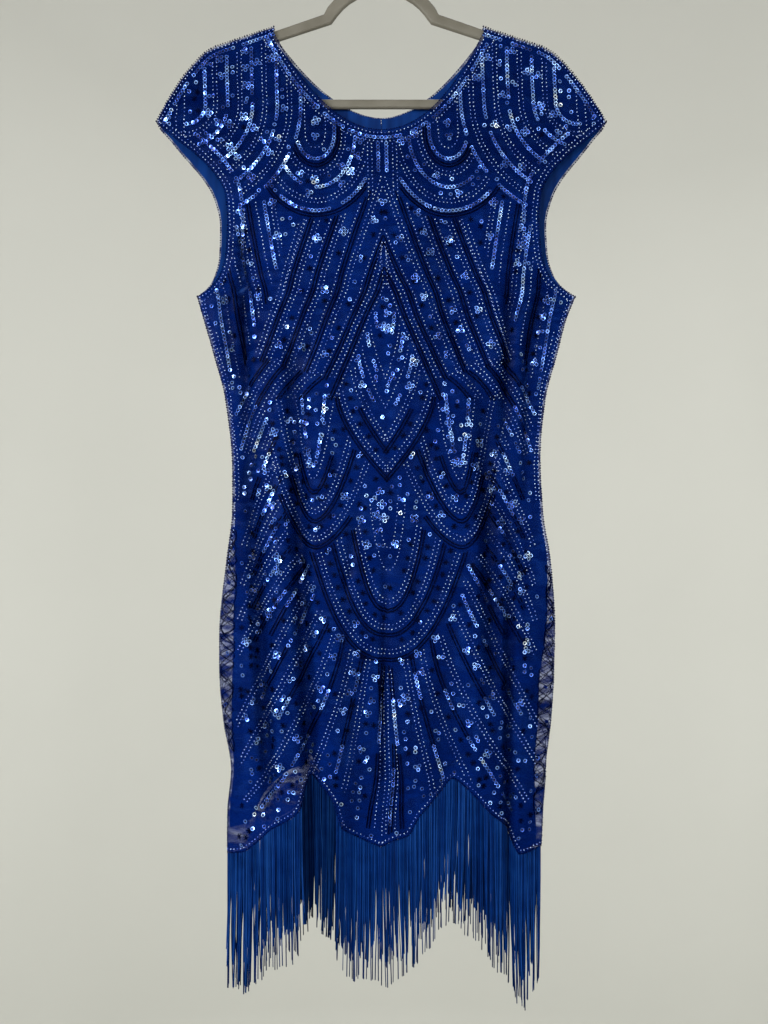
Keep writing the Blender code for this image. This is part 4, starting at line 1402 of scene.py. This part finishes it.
def petal(k):
    """A rounded bowl beside the middle, down its inner side and up its outer one."""
    left, right, tip = between(PETALS, k)
    spread = TOWARDS_TIP ** PETAL_ROUND
    inner = np.stack([PETAL_MIDDLE - left * spread, tip - PETAL_RISE * TOWARDS_TIP], 1)
    outer = np.stack([PETAL_MIDDLE + right * spread, tip - PETAL_RISE * TOWARDS_TIP], 1)
    return np.concatenate([inner, outer[-2::-1]])


def petal_bottom(out):
    """Lower edge of the outer petal at a place across."""
    outermost = PETALS[0]
    away = np.where(out < PETAL_MIDDLE, (PETAL_MIDDLE - out) / outermost.left,
                    (out - PETAL_MIDDLE) / outermost.right)
    return outermost.tip - PETAL_RISE * np.clip(away, 0, 1) ** (1 / PETAL_ROUND)


def shield(k):
    """One side of the round-pointed shield in the middle."""
    width, rise, tip = between(SHIELD, k)
    return np.stack([width * TOWARDS_TIP ** SHIELD_ROUND, tip - rise * TOWARDS_TIP], 1)


def shield_side(drop):
    """Place across of the outermost shield at a drop."""
    width, rise, tip = SHIELD[0]
    return width * np.clip((tip - drop) / rise, 0, 1) ** SHIELD_ROUND


# %% Draw the chevrons
BODY_MARGIN = 13.0
LIMIT_START, LIMIT_SLOPE, LIMIT_LEVEL = 93, 0.37, 347
WAIST = 530


def chevron_limit(drop):
    """Where the chevrons end and the side's own lines begin."""
    return LIMIT_START + LIMIT_SLOPE * (drop - LIMIT_LEVEL)


def petal_limit(drop):
    """Where the petals end and the hip's own lines begin."""
    return 132 - 0.12 * (drop - WAIST)


def draw_chevrons(book, below_yoke):
    between_legs = both(below_yoke, lambda out, drop: out > 1.2)
    in_chevrons = both(between_legs, lambda out, drop: out < chevron_limit(drop))
    for k in range(4):
        book.dark(chevron(k), in_chevrons)
        if k:
            book.seeds(chevron(k - 0.27), in_chevrons)
            book.stars(chevron(k - 0.62), in_chevrons, 24)
            book.clusters(chevron(k - 0.5), in_chevrons, 20, 0.3)
        book.seeds(chevron(k), in_chevrons, rows=1, offset=4.8)
    book.seeds(chevron(3.4), in_chevrons)
    drops = np.linspace(LEG_TIP, WAIST, 40)
    inner = np.stack([inner_leg(drops), drops], 1)
    book.dark(inner, between_legs)
    first = chevron(0)
    first = first[first[:, 0] > 0]
    second = np.maximum(inner_leg(first[:, 1]), 0.8)
    for share in (0.33, 0.68):
        line = np.stack([first[:, 0] * (1 - share) + second * share, first[:, 1]], 1)
        book.seeds(line, between_legs, rows=1)
    book.seeds(inner - (5.0, 0), between_legs, rows=1)


# %% Draw the leaf, the petals and the shield
def draw_core(book, panel, below_yoke):
    in_core = both(panel, lambda out, drop: (out < inner_leg(drop) - 7) | (drop > WAIST))
    for k, rows in ((0.33, 2), (1.4, 2), (2.45, 1), (3.4, 1)):
        book.seeds(core(k), in_core, rows=rows)
    book.dark(core(0), in_core)
    # the second leaf's dark line starts where the legs have parted
    book.dark(core(1)[18:], in_core)
    off_middle = both(in_core, lambda out, drop: out > 2)
    for k in (2, 3, 4):
        book.chains(core(k), off_middle, run=(10, 26), gap=(12, 34))
    book.stars(core(0.68), in_core)
    book.clusters(core(1.75), in_core, 20, 0.3)
    book.clusters(core(2.8), in_core, 20, 0.3)
    book.seeds([(0.2, 366), (0.2, 408)], below_yoke, sides=(1,), gap=5)
    book.clusters([(2.0, 410), (2.0, 470)], below_yoke, 14, 0.5)


def draw_petals(book, panel):
    in_petals = both(panel, lambda out, drop: (out > np.maximum(core_edge(drop) + 5, 3))
                     & (drop > WAIST - 2) & (out < petal_limit(drop)))
    lower = both(in_petals, lambda out, drop: drop > 585)
    # only the bowls have dark lines; the upper ends run out under the chevrons
    book.dark(petal(0)[24:62], lower)
    book.dark(petal(1)[12:60], in_petals)
    for k in (0, 1):
        book.seeds(petal(k + 0.33), in_petals)
        book.stars(petal(k + 0.7), in_petals)
    book.dark(petal(2)[22:58], in_petals)
    book.seeds(petal(2.5), in_petals, rows=1)
    book.clusters(petal(2.9), in_petals, 14)
    book.clusters(petal(0.68), in_petals, 22, 0.3)
    book.clusters(petal(1.7), in_petals, 24, 0.3)
    book.chains(petal(3), in_petals, run=(10, 30))


SHIELD_CLUSTERS = ((3.9, 15, 0.12), (2.7, 24, 0.3), (1.7, 30, 0.4), (0.7, 34, 0.4),
                   (4.9, 13, 0.12))


def draw_shield(book, panel):
    in_shield = both(panel, lambda out, drop: (drop > petal_bottom(out) + 7) & (out > 0.8)
                     & (drop > 626) & (out < 86))
    for k in range(3):
        book.dark(shield(k), in_shield)
        book.seeds(shield(k + 0.33), in_shield)
        book.stars(shield(k + 0.7), in_shield, 13)
    book.seeds(shield(3.5), in_shield, rows=1)
    book.seeds(shield(4.3), in_shield, rows=1)
    for k, pitch, skip in SHIELD_CLUSTERS:
        book.clusters(shield(k), in_shield, pitch, skip)


def draw_body(book):
    panel = on_panel(book.face, BODY_MARGIN, BODY_MARGIN, sheer=False)
    below_yoke = both(panel, lambda out, drop: drop > yoke_bottom(out) + 7)
    draw_chevrons(book, below_yoke)
    draw_core(book, panel, below_yoke)
    draw_petals(book, panel)
    draw_shield(book, panel)


# %% [markdown]
# ### Sides and skirt
# At the sides a fan gathers towards the waist and a second one opens from the hip. Under
# the shield the rays of the skirt spread to the hem; each is part dark line and part
# sequin string.

# %% Draw the sides and skirt
UNDERARM_FAN = (((200, 424), (176, 505), (160, 600)), ((186, 412), (164, 495), (146, 580)),
                ((176, 380), (156, 470), (138, 560)))
HIP_RAYS = (((64, 506), (92, 532), (120, 580)), ((84, 498), (116, 530), (146, 590)),
            ((104, 490), (136, 530), (160, 588)), ((124, 486), (146, 514), (164, 548)))
FLANK_RAYS = (((112, 560), (136, 610), (158, 668)), ((104, 600), (134, 652), (158, 712)),
              ((100, 640), (132, 690), (160, 752)), ((92, 676), (130, 726), (162, 790)),
              ((86, 706), (126, 762), (162, 826)))
SKIRT_RAYS = (((4, 822), (11, 912), (20, 1010)), ((26, 806), (44, 886), (72, 985)),
              ((48, 794), (78, 880), (146, 990)), ((66, 776), (106, 856), (160, 946)),
              ((80, 744), (120, 824), (164, 908)), ((86, 712), (128, 790), (166, 866)))
SIDE_LINES = ((118, "seeds"), (127, "sequin"), (136, "seed"), (145, "dark"), (153, "seeds"),
              (162, "sequin"), (171, "seed"), (180, "dark"), (190, "seed"), (199, "sequin"))
SIDE_TOP, SIDE_END = 318, 520
SIDE_SLANT, SIDE_LEVEL = 0.17, 330
# where along each skirt ray its parts begin and end, and what each part is
SKIRT_PARTS = (((0, 0.18, 0.5, 1), ("dark", "sequin", "dark")),
               ((0, 0.12, 0.28, 0.55, 0.85), ("dark", "sequin", "dark", "sequin")),
               ((0, 0.25, 0.36, 0.5, 0.95), ("dark", "sequin", "dark", "sequin")),
               ((0, 0.2, 0.45, 0.6, 0.8), ("dark", "dark", "sequin", "none")),
               ((0, 0.35, 0.6, 0.8), ("sequin", "dark", "sequin")),
               ((0, 0.3, 0.5, 1), ("sequin", "dark", "none")))
FLANK_PARTS = ((0, 0.3, 0.55, 0.75, 1), ("dark", "sequin", "dark", "none"))
HIP_PARTS = ((0.1, 0.55, 1), ("dark", "sequin"))
SIDE_MARGIN, SKIRT_MARGIN, HEM_MARGIN = 8.0, 4.0, 12.0


def side_line(out):
    """A side line that leans in as it falls, named by its place across at the yoke."""
    drops = np.linspace(SIDE_TOP, SIDE_END, 60)
    return np.stack([out - SIDE_SLANT * (drops - SIDE_LEVEL), drops], 1)


def ray(table, k):
    """A ray of a fan, or one between two rays where its number isn't whole."""
    low = min(int(k), len(table) - 2)
    low_path, high_path = through(*table[low]), through(*table[low + 1])
    return low_path * (low + 1 - k) + high_path * (k - low)


def broken(book, path, inside, shares, kinds):
    """A ray that changes along its length from dark line to sequins and back."""
    path = evenly(path)
    for start, end, kind in zip(shares, shares[1:], kinds):
        part = path[int(start * len(path)):int(end * len(path)) - 1]
        if len(part) > 4:
            if kind == "dark":
                book.dark(part, inside)
            elif kind == "sequin":
                book.chains(part, inside, run=(16, 60), gap=(4, 14))


def draw_side_lines(book, panel):
    """Lines that hang from the yoke, outside the chevrons."""
    beside = both(panel, lambda out, drop: (drop > yoke_bottom(out) + 6)
                  & (out > chevron_limit(drop) + 8) & (drop < SIDE_END))
    for out, kind in SIDE_LINES:
        line = side_line(out)
        if kind == "seed":
            book.seeds(line, beside, rows=1)
        elif kind == "seeds":
            book.seeds(line, beside)
        elif kind == "dark":
            book.dark(line, beside)
            book.stars(side_line(out + 7), beside, 20, 0.3)
        else:
            book.chains(line, beside, run=(36, 120), gap=(6, 14))
            book.clusters(side_line(out - 8), beside, 17, 0.35)


def draw_fans(book, panel):
    """The fan under the arm and the one on the hip: seeds between broken rays."""
    outer = both(panel, lambda out, drop: (drop > 424) & (out > 186 - 0.14 * (drop - 424)))
    for k, rows in ((0.25, 1), (1.3, 2)):
        book.seeds(ray(UNDERARM_FAN, k), outer, rows=rows)
    book.clusters(ray(UNDERARM_FAN, 0.8), outer, 18, 0.3)
    free = both(panel, lambda out, drop: (out > 60) & (drop > 486) & (drop < 606)
                & ((out > petal_limit(drop)) | (drop < WAIST)))
    for k in np.arange(0, 3.01, 0.5):
        if k % 1:
            book.seeds(ray(HIP_RAYS, k), free)
        else:
            broken(book, ray(HIP_RAYS, k), free, *HIP_PARTS)


def draw_flanks(book, panel):
    """Slanted rays beside the shield, from the hip down to the skirt."""
    flank = both(panel, lambda out, drop: (out > petal_limit(drop) - 6)
                 & (out > shield_side(drop) + 10) | ((drop > 700) & (out > shield_side(drop) + 12)))
    for k in np.arange(0, 4.01, 0.5):
        if k % 1:
            book.seeds(ray(FLANK_RAYS, k), flank)
        else:
            broken(book, ray(FLANK_RAYS, k), flank, *FLANK_PARTS)
        book.clusters(ray(FLANK_RAYS, min(k + 0.25, 3.99)), flank, 20, 0.6)
        book.stars(ray(FLANK_RAYS, min(k + 0.75, 3.99)), flank, 24, 0.5)


def draw_sides(book):
    panel = on_panel(book.face, SIDE_MARGIN, HEM_MARGIN, sheer=False)
    draw_side_lines(book, panel)
    draw_fans(book, panel)
    draw_flanks(book, panel)


# %% Draw the skirt
def draw_skirt(book):
    panel = on_panel(book.face, SKIRT_MARGIN, HEM_MARGIN, sheer=False)
    skirt = both(panel, lambda out, drop: (out > shield_side(drop) + 6) | (drop > 822))
    for k, (shares, kinds) in enumerate(SKIRT_PARTS):
        broken(book, ray(SKIRT_RAYS, k), skirt, shares, kinds)
    for k in (0.72, 1.5, 2.5, 3.5, 4.5):
        book.seeds(ray(SKIRT_RAYS, k), skirt)
        book.clusters(ray(SKIRT_RAYS, k - 0.25), skirt, 19, 0.3)
        book.stars(ray(SKIRT_RAYS, k + 0.25), skirt, 26, 0.25)
    book.clusters(ray(SKIRT_RAYS, 0.35)[:20], skirt, 12, 0.3)
    middle = both(panel, lambda out, drop: drop > 818)
    book.seeds(through((4.5, 824), (8.5, 900), (11, 1008)), middle, rows=1)
    book.seeds([(-1, 826), (-1, 1008)], middle, sides=(1,))
    book.dark([(-7.5, 818), (-6.5, 880)], middle, sides=(1,))
    book.dark([(6.5, 905), (5.5, 1000)], middle, sides=(1,))
    book.chains([(5, 930), (5, 1004)], middle, run=(16, 40), sides=(1,))


# %% [markdown]
# ### Clear sides and bare places
# The clear strips at the side seams have no lining behind them. Dark threads wind down
# them and cross each other, with a sequin here and there. Last of all, whatever is still
# bare gets single sequins and stars, so the net is evenly filled as on the real dress.

# %% Draw the clear sides
SHEER_TOP, SHEER_BOTTOM, SHEER_LEAST = 672.0, 985.0, 4.5
SHEER_INSIDE, SHEER_OUTSIDE = 2.5, 2
WINDING_WAVES = (23.0, 31.0, 43.0, 57.0)
WINDING_SWING, SWING_WAVE = 1.1, 23
SHEER_SEQUIN_PITCH, SHEER_SEQUINS = 19.0, 0.4


def draw_sheer(book):
    """Dark threads that wind down between the slip's edge and the side seam, and cross."""
    for side in (1, -1):
        drops = np.arange(SHEER_TOP, SHEER_BOTTOM, 1.5)
        drops = drops[sheer_width[side](drops) > SHEER_LEAST]
        inner = half_width(drops, book.face) - sheer_width[side](drops) - SHEER_INSIDE
        outer = half_width(drops, book.face) - SHEER_OUTSIDE
        for wave in WINDING_WAVES:
            turn = 2 * math.pi * drops / wave + book.random.uniform(0, 6)
            turn = turn + WINDING_SWING * np.sin(drops / SWING_WAVE + book.random.uniform(0, 6))
            winding = inner + (outer - inner) * (0.5 + 0.5 * np.sin(turn))
            book.paths["thread"].append(np.stack([winding * side, drops], 1))
        for drop in np.arange(drops[0], drops[-1], SHEER_SEQUIN_PITCH):
            if book.random.random() < SHEER_SEQUINS:
                share = book.random.uniform(0.2, 0.9)
                at = np.interp(drop, drops, inner * (1 - share) + outer * share)
                book.points["sequin"].append(np.array([at * side, drop]))


# %% Fill what is still bare
FILL_GRID, FILL_CLEAR, FILL_WANDER = 8.5, 5.2, 2.5
FILL_TOP, FILL_END, FILL_OUT = 150.0, 1010.0, 235.0
FILL_MARGIN = 9.0
FILL_SEQUINS, FILL_STARS = 0.62, 0.8


def draw_fill(book):
    """Single sequins and stars wherever the net would still be bare."""
    sewn = [path for kind in ("seed", "sequin", "bugle") for path in book.paths[kind]]
    sewn = np.concatenate([*sewn, np.array(book.points["sequin"]), np.array(book.points["star"])])
    inside = on_panel(book.face, FILL_MARGIN, FILL_MARGIN, sheer=False)
    for drop in np.arange(FILL_TOP, FILL_END, FILL_GRID):
        for out in np.arange(-FILL_OUT, FILL_OUT + 1, FILL_GRID):
            at = np.array([out, drop]) + book.random.uniform(-FILL_WANDER, FILL_WANDER, 2)
            if not inside(*at) or np.min(np.sum((sewn - at) ** 2, axis=1)) < FILL_CLEAR ** 2:
                continue
            choice = book.random.random()
            if choice < FILL_SEQUINS:
                book.points["sequin"].append(at)
            elif choice < FILL_STARS:
                book.points["star"].append(at)


# %% [markdown]
# ### Edges
# Every edge is finished the same way: a rim of small dark beads on the fold, a row of
# seeds inside it, and a string of sequins a little further in.

# %% Draw the edges
CAP_DROP_LOW = 226.0
RIM_INSIDE, HEM_RIM_INSIDE = 0.6, 1.0
SLIP_EDGE_END = 640
HEM_OUTMOST = 0.995
HEM_SEQUIN_INSIDE, HEM_SEQUIN_PITCH, HEM_SEQUINS = 7.5, 17, 0.55


def anywhere(out, drop):
    return np.ones(out.shape, bool)


def edge_paths(face):
    """The net's upper edges as flat paths: neck, shoulder with cap, armhole and side."""
    outs = np.linspace(0, NECK_OUT, 60)
    neck = np.stack([outs, neck_drop(outs, face)], 1)
    outs = np.linspace(NECK_OUT, CAP_OUT, 60)
    shoulder = np.stack([outs, shoulder_drop(outs)], 1)
    drops = np.linspace(CAP_DROP_LOW, UNDERARM, 80)
    hole = np.stack([half_width(drops, face), drops], 1)
    corner = float(hem_edge(face, np.array([1.0]))[1][0])
    drops = np.linspace(UNDERARM, corner, 120)
    side = np.stack([half_width(drops, face), drops], 1)
    return neck, shoulder, hole, side


def draw_upper_edges(book):
    neck, shoulder, hole, side = edge_paths(book.face)
    for path in (neck, shoulder, hole, side):
        book.add("rim", path, anywhere, -RIM_INSIDE)
    inside = on_panel(book.face, 2.0)
    book.seeds(neck, inside, rows=1, offset=-4.2)
    book.chains(neck, on_panel(book.face, 8.0), -9.4, run=(20, 60), gap=(5, 18))
    book.seeds(neck, inside, rows=1, offset=-13.6)
    book.seeds(shoulder, inside, rows=1, offset=-5.0)
    book.chains(shoulder, on_panel(book.face, 7.0), -10.2, run=(20, 60), gap=(5, 18))
    book.seeds(hole, inside, offset=-5.6)
    book.chains(hole[12:66], on_panel(book.face, 3.0), -17.5, run=(20, 60))
    book.seeds(side[:60], on_panel(book.face, 1.5, 3.0), rows=1, offset=-3.4)


def draw_slip_edge(book):
    """A row of seeds that runs down the side where the slip's edge lies."""
    drops = np.linspace(UNDERARM + 6, SLIP_EDGE_END, 100)
    outs = half_width(drops, book.face, LINING) + 1.2 * np.sin(drops / 17)
    book.seeds(np.stack([outs, drops], 1), on_panel(book.face, 2.0, 10.0), rows=1, offset=-4.0)


def draw_hem(book):
    for side in (1, -1):
        across, drop = hem_edge(book.face, np.linspace(0, side * HEM_OUTMOST, 400))
        hem = np.stack([(across - lean(drop)) * side, drop], 1)
        book.add("rim", hem, anywhere, HEM_RIM_INSIDE, sides=(side,))
        book.seeds(hem, anywhere, rows=1, offset=4.2, sides=(side,))
        row = evenly(beside_path(evenly(hem), HEM_SEQUIN_INSIDE), HEM_SEQUIN_PITCH)
        for centre in row[1:-1]:
            if book.random.random() < HEM_SEQUINS:
                book.points["sequin"].append(centre * (side, 1))


def draw_edges(book):
    draw_upper_edges(book)
    draw_slip_edge(book)
    if book.face == "back":
        book.add("rim", [(0.0, BACK_NECK + 1), (0.0, SLIT_END)], anywhere, sides=(1,))
    draw_hem(book)


# %% Draw both faces
books = {}
for face, seed in (("front", 5), ("back", 6)):
    books[face] = Beading(face, seed)
    for draw in (draw_yoke, draw_body, draw_sides, draw_skirt, draw_edges, draw_sheer, draw_fill):
        draw(books[face])
    print(face, {kind: len(paths) for kind, paths in books[face].paths.items()},
          {kind: len(points) for kind, points in books[face].points.items()})

# %% [markdown]
# ## Beads and sequins
# Each bead is modelled once, with only a few faces, and sewn thousands of times. The
# sequins are shallow cups, so every one catches the light its own way once tilted.

# %% Shapes of the beads
def ring_bead(name, rings, sides):
    """A small closed shape turned from (radius, height) rings about its upright axis."""
    shape = bmesh.new()
    loops = [[shape.verts.new((radius * math.cos(2 * math.pi * i / sides) * MM,
                               radius * math.sin(2 * math.pi * i / sides) * MM, height * MM))
              for i in range(sides)] for radius, height in rings]
    for low, high in zip(loops, loops[1:]):
        for i in range(sides):
            shape.faces.new((low[i], low[(i + 1) % sides], high[(i + 1) % sides], high[i]))
    shape.faces.new(loops[0][::-1])
    shape.faces.new(loops[-1])
    mesh = bpy.data.meshes.new(name)
    shape.to_mesh(mesh)
    shape.free()
    keep_values(mesh, "core", [0.0] * (sides * (len(rings) - 1)) + [1.0] * sides)
    bead = bpy.data.objects.new(name, mesh)
    scene.collection.objects.link(bead)
    return bead


def long_bead(name, radius, half_length, sides):
    """A small tube that lies along the path."""
    bead = ring_bead(name, ((radius, -half_length), (radius, half_length)), sides)
    for vertex in bead.data.vertices:
        x, y, z = vertex.co
        vertex.co = (z, y, -x)
    return bead


# %% One of each bead
seed_bead = ring_bead("seed_bead", ((0.66, -0.4), (0.42, 0.55)), 5)
rim_bead = ring_bead("rim_bead", ((0.6, -1.1), (1.15, -0.1), (0.55, 1.0)), 6)
cup_sequin = ring_bead("cup_sequin", ((1.8, -0.12), (2.3, 0.32), (1.08, 0.2)), 8)
bugle_bead = long_bead("bugle_bead", 0.8, 3.05, 5)
star_bar = long_bead("star_bar", 0.6, 3.4, 5)
for bead in (seed_bead, rim_bead, cup_sequin, bugle_bead, star_bar):
    print(bead.name, len(bead.data.polygons), "faces")

# %% Bead finishes
SEED_TINTS = ((0.0, (0.06, 0.12, 0.46)), (0.3, (0.26, 0.38, 0.90)), (0.7, (0.60, 0.74, 1.0)))
RIM_TINTS = ((0.0, (0.0002, 0.0010, 0.010)), (1.0, (0.0012, 0.0060, 0.045)))
BUGLE_TINTS = ((0.0, (0.0001, 0.0003, 0.0035)), (1.0, (0.0006, 0.0020, 0.020)))
# painted flash and dimming: the darkest and the near-white foil tints stand in for sequins that
# miss or catch the light; the blues between are the foil's own colour
FOIL_AND_FLASH_TINTS = ((0.0, (0.014, 0.05, 0.32)), (0.30, (0.055, 0.16, 0.70)), (0.55, (0.16, 0.34, 0.94)),
              (0.84, (0.34, 0.56, 0.98)), (1.0, (0.82, 0.93, 1.0)))
FLASH_DRIFT, FLASH_DRIFT_SHIFT, FLASH_CHANCE = 2.3, -0.98, 0.45
HOLE_TINTS = ((0.5, (1, 1, 1)), (0.68, (0.02, 0.03, 0.08)))


def bead_finish(name, tints, roughness, specular):
    """Glass whose colour differs from bead to bead."""
    material, nodes, links, shader = new_finish(name)
    colour = ramp(nodes, links, each_island(nodes), tints)
    links.new(shaded(nodes, links, colour), shader.inputs["Base Color"])
    shader.inputs["Roughness"].default_value = roughness
    shader.inputs["Specular IOR Level"].default_value = specular
    return material


def foil_and_flash_finish():
    """Blue foil with a dark hole, and painted flash and dimming: the colour drifts from dark blue
    to near white along a string and a little from one sequin to the next.
    """
    material, nodes, links, shader = new_finish("blue_sequin_foil")
    flash_drift = math_node(nodes, links, "MULTIPLY_ADD", noise(nodes, links, own_place(nodes), 42),
                      FLASH_DRIFT, FLASH_DRIFT_SHIFT)
    flash_level = math_node(nodes, links, "MULTIPLY_ADD", each_island(nodes), FLASH_CHANCE, flash_drift)
    hole = ramp(nodes, links, own_value(nodes, "core"), HOLE_TINTS)
    holed = multiplied(nodes, links, ramp(nodes, links, flash_level, FOIL_AND_FLASH_TINTS), hole)
    links.new(shaded(nodes, links, holed), shader.inputs["Base Color"])
    shader.inputs["Roughness"].default_value = 0.24
    shader.inputs["Metallic"].default_value = 0.72
    shader.inputs["Coat Weight"].default_value = 0.28
    shader.inputs["Coat Roughness"].default_value = 0.18
    shader.inputs["Specular IOR Level"].default_value = 0.12
    return material


seed_glass = bead_finish("pale_seed_glass", SEED_TINTS, 0.25, 0.5)
sequin_foil_and_flash = foil_and_flash_finish()
rim_glass = bead_finish("dark_rim_glass", RIM_TINTS, 0.5, 0.01)
bugle_glass = bead_finish("dark_bugle_glass", BUGLE_TINTS, 0.35, 0.01)

# %% Sources for the trees
STRING_LIFT, SEQUIN_LIFT, STAR_LIFT = 0.6, 0.7, 0.5
STAR_TURNS = (0, 60, 120)
FOLD_SHADE_POWER = 2


def source_mesh(book, points, lift, edges=(), directions=None):
    """Points and edges to sew on, where the cloth is; beads in a deep fold get little light."""
    across, drops = points[:, 0] + lean(points[:, 1]), points[:, 1]
    places, facing = on_cloth(across, drops, book.face, lift)
    mesh = bpy.data.meshes.new("sewing_lines")
    mesh.from_pydata(places.tolist(), list(edges), [])
    keep_values(mesh, "shade", fold_shade(across, drops, book.face) ** FOLD_SHADE_POWER)
    held = {"facing": facing}
    if directions is not None:
        # each direction is laid flat on the cloth
        held["along"] = directions - facing * np.sum(directions * facing, axis=1, keepdims=True)
    for name, vectors in held.items():
        attribute = mesh.attributes.new(name, "FLOAT_VECTOR", "POINT")
        attribute.data.foreach_set("vector", vectors.ravel())
    return mesh


def path_source(book, paths):
    """Edges that follow the paths on the cloth."""
    edges, start = [], 0
    for path in paths:
        edges += [(start + i, start + i + 1) for i in range(len(path) - 1)]
        start += len(path)
    return source_mesh(book, np.concatenate(paths), STRING_LIFT, edges)


def point_source(book, points):
    """Loose points, each turned by chance."""
    points = np.array(points)
    directions = book.random.normal(0, 1, (len(points), 3))
    return source_mesh(book, points, SEQUIN_LIFT, directions=directions)


def star_source(book):
    """Three crossing bars for each dark star."""
    bars = len(STAR_TURNS)
    stars = np.array(book.points["star"])
    turns = np.repeat(book.random.uniform(0, math.pi, len(stars)), bars)
    turns += np.tile(np.radians(STAR_TURNS), len(stars))
    directions = np.stack([np.cos(turns), np.zeros(len(turns)), np.sin(turns)], 1)
    return source_mesh(book, np.repeat(stars, bars, axis=0), STAR_LIFT, directions=directions)


# %% [markdown]
# ### The strings
# Each row is one kind of string: what it is called, which paths it follows, the bead, its
# pitch in millimetres, its size and how much that varies, how far beads tilt, and the
# finish. Rim beads vary and tilt the most, as they are crowded on an edge.

# %% Sew it all on
STRINGS = table("name kind bead pitch size spread tilt finish", (
    ("seed_beads", "seed", seed_bead, 4.3, 1.0, 0.22, 0.25, seed_glass),
    ("sequin_strings", "sequin", cup_sequin, 3.75, 0.96, 0.06, 0.28, sequin_foil_and_flash),
    ("bugle_lines", "bugle", bugle_bead, 6.1, 1.0, 0.05, 0.04, bugle_glass),
    ("rim_beads", "rim", rim_bead, 2.8, 0.9, 0.42, 0.6, rim_glass),
    ("side_threads", "thread", bugle_bead, 3.2, 0.55, 0.05, 0.04, bugle_glass)))
CLUSTER_SEED, STAR_SEED, MOST_SEED = 77, 5, 9999

beadwork = {"front": [], "back": []}
for face, book in books.items():
    for string in STRINGS:
        seed = book.random.integers(1, MOST_SEED).item()
        beadwork[face].append(made_by(
            f"{string.name}_{face}", path_source(book, book.paths[string.kind]), sew_along,
            {"Bead": string.bead, "Pitch": string.pitch * MM, "Size": string.size,
             "Size spread": string.spread, "Tilt": string.tilt, "Seed": seed,
             "Finish": string.finish}))
    beadwork[face].append(made_by(
        f"sequin_clusters_{face}", point_source(book, book.points["sequin"]), sew_at,
        {"Bead": cup_sequin, "Size": 1.0, "Size spread": 0.06, "Tilt": 0.3,
         "Seed": CLUSTER_SEED, "Finish": sequin_foil_and_flash}))
    beadwork[face].append(made_by(
        f"dark_stars_{face}", star_source(book), sew_at,
        {"Bead": star_bar, "Size": 1.0, "Size spread": 0.15, "Tilt": 0.06,
         "Seed": STAR_SEED, "Finish": bugle_glass}))
for bead in (seed_bead, rim_bead, cup_sequin, bugle_bead, star_bar):
    bpy.data.objects.remove(bead, do_unlink=True)

# %% [markdown]
# ## Hanger
# The hanger is moulded in one piece, so its edges are softly rounded; it is softened
# here from the plain solid. The hook is bent from plated wire and keeps its shape.

# %% Hanger and hook finishes
MOULDED_TINTS = ((0.3, (0.100, 0.092, 0.071)), (0.7, (0.130, 0.121, 0.097)))
WIRE_TINTS = ((0.3, (0.24, 0.24, 0.235)), (0.7, (0.36, 0.36, 0.35)))
WIRE_ROUGHNESS = ((0.3, (0.22, 0.22, 0.22)), (0.7, (0.34, 0.34, 0.34)))


def moulded_finish():
    """Grey-brown plastic with a faint mottle and a fine grain."""
    material, nodes, links, shader = new_finish("moulded_grey")
    own = own_place(nodes)
    mottle = ramp(nodes, links, noise(nodes, links, own, 35, 4.0), MOULDED_TINTS)
    links.new(mottle, shader.inputs["Base Color"])
    shader.inputs["Roughness"].default_value = 0.5
    shader.inputs["Specular IOR Level"].default_value = 0.3
    bumped(nodes, links, shader, noise(nodes, links, own, 900, 3.0), 0.12, 0.4)
    return material


def wire_finish():
    """Plated wire, a little uneven in colour and shine."""
    material, nodes, links, shader = new_finish("plated_wire")
    drawn = noise(nodes, links, own_place(nodes), 400, 3.0)
    links.new(ramp(nodes, links, drawn, WIRE_TINTS), shader.inputs["Base Color"])
    links.new(ramp(nodes, links, drawn, WIRE_ROUGHNESS), shader.inputs["Roughness"])
    shader.inputs["Metallic"].default_value = 1.0
    return material


# %% Soften the hanger
EDGE_ROUND, ROUND_STEPS = 0.7, 2
SAME_POINT = 0.02
FLAT_ANGLE, CORNER_ANGLE, SHARP_ANGLE = (math.radians(angle) for angle in (2, 25, 35))

hanger_shape = bmesh.new()
hanger_shape.from_mesh(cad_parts["hanger"].data)
bmesh.ops.remove_doubles(hanger_shape, verts=hanger_shape.verts, dist=SAME_POINT * MM)
bmesh.ops.dissolve_limit(hanger_shape, angle_limit=FLAT_ANGLE, verts=hanger_shape.verts,
                         edges=hanger_shape.edges)
corners = [edge for edge in hanger_shape.edges
           if edge.is_manifold and edge.calc_face_angle() > CORNER_ANGLE]
bmesh.ops.bevel(hanger_shape, geom=corners, offset=EDGE_ROUND * MM, segments=ROUND_STEPS,
                affect="EDGES", profile=0.5, clamp_overlap=True)
hanger_mesh = bpy.data.meshes.new("moulded_hanger")
hanger_shape.to_mesh(hanger_mesh)
hanger_shape.free()
hanger_mesh.shade_smooth()
hanger_mesh.set_sharp_from_angle(angle=SHARP_ANGLE)
hanger_mesh.materials.append(moulded_finish())
hanger = bpy.data.objects.new("moulded_hanger", hanger_mesh)
scene.collection.objects.link(hanger)
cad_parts["hanger_hook"].material_slots[0].material = wire_finish()
print("hanger faces", len(hanger_mesh.polygons))

# %% [markdown]
# ## Hand over
# Every piece rides on the one body, and the plain solids that the pieces replace are
# hidden.

# %% Ride and replace
for face in ("front", "back"):
    for piece, node, slot in ((net[face], face, "net"),
                              (lining[face], "lining_" + face, "lining"),
                              (fringe[face], "fringe_" + face, "fringe")):
        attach(piece, "root")
        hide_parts(node)
    for piece in beadwork[face]:
        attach(piece, "root")
    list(beadwork[face])

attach(hanger, "root")
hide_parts("hanger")

# %% Measure the size
new_low, new_high = (list(corner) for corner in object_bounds())
print("size", [round(h - l, 4) for l, h in zip(new_low, new_high)])
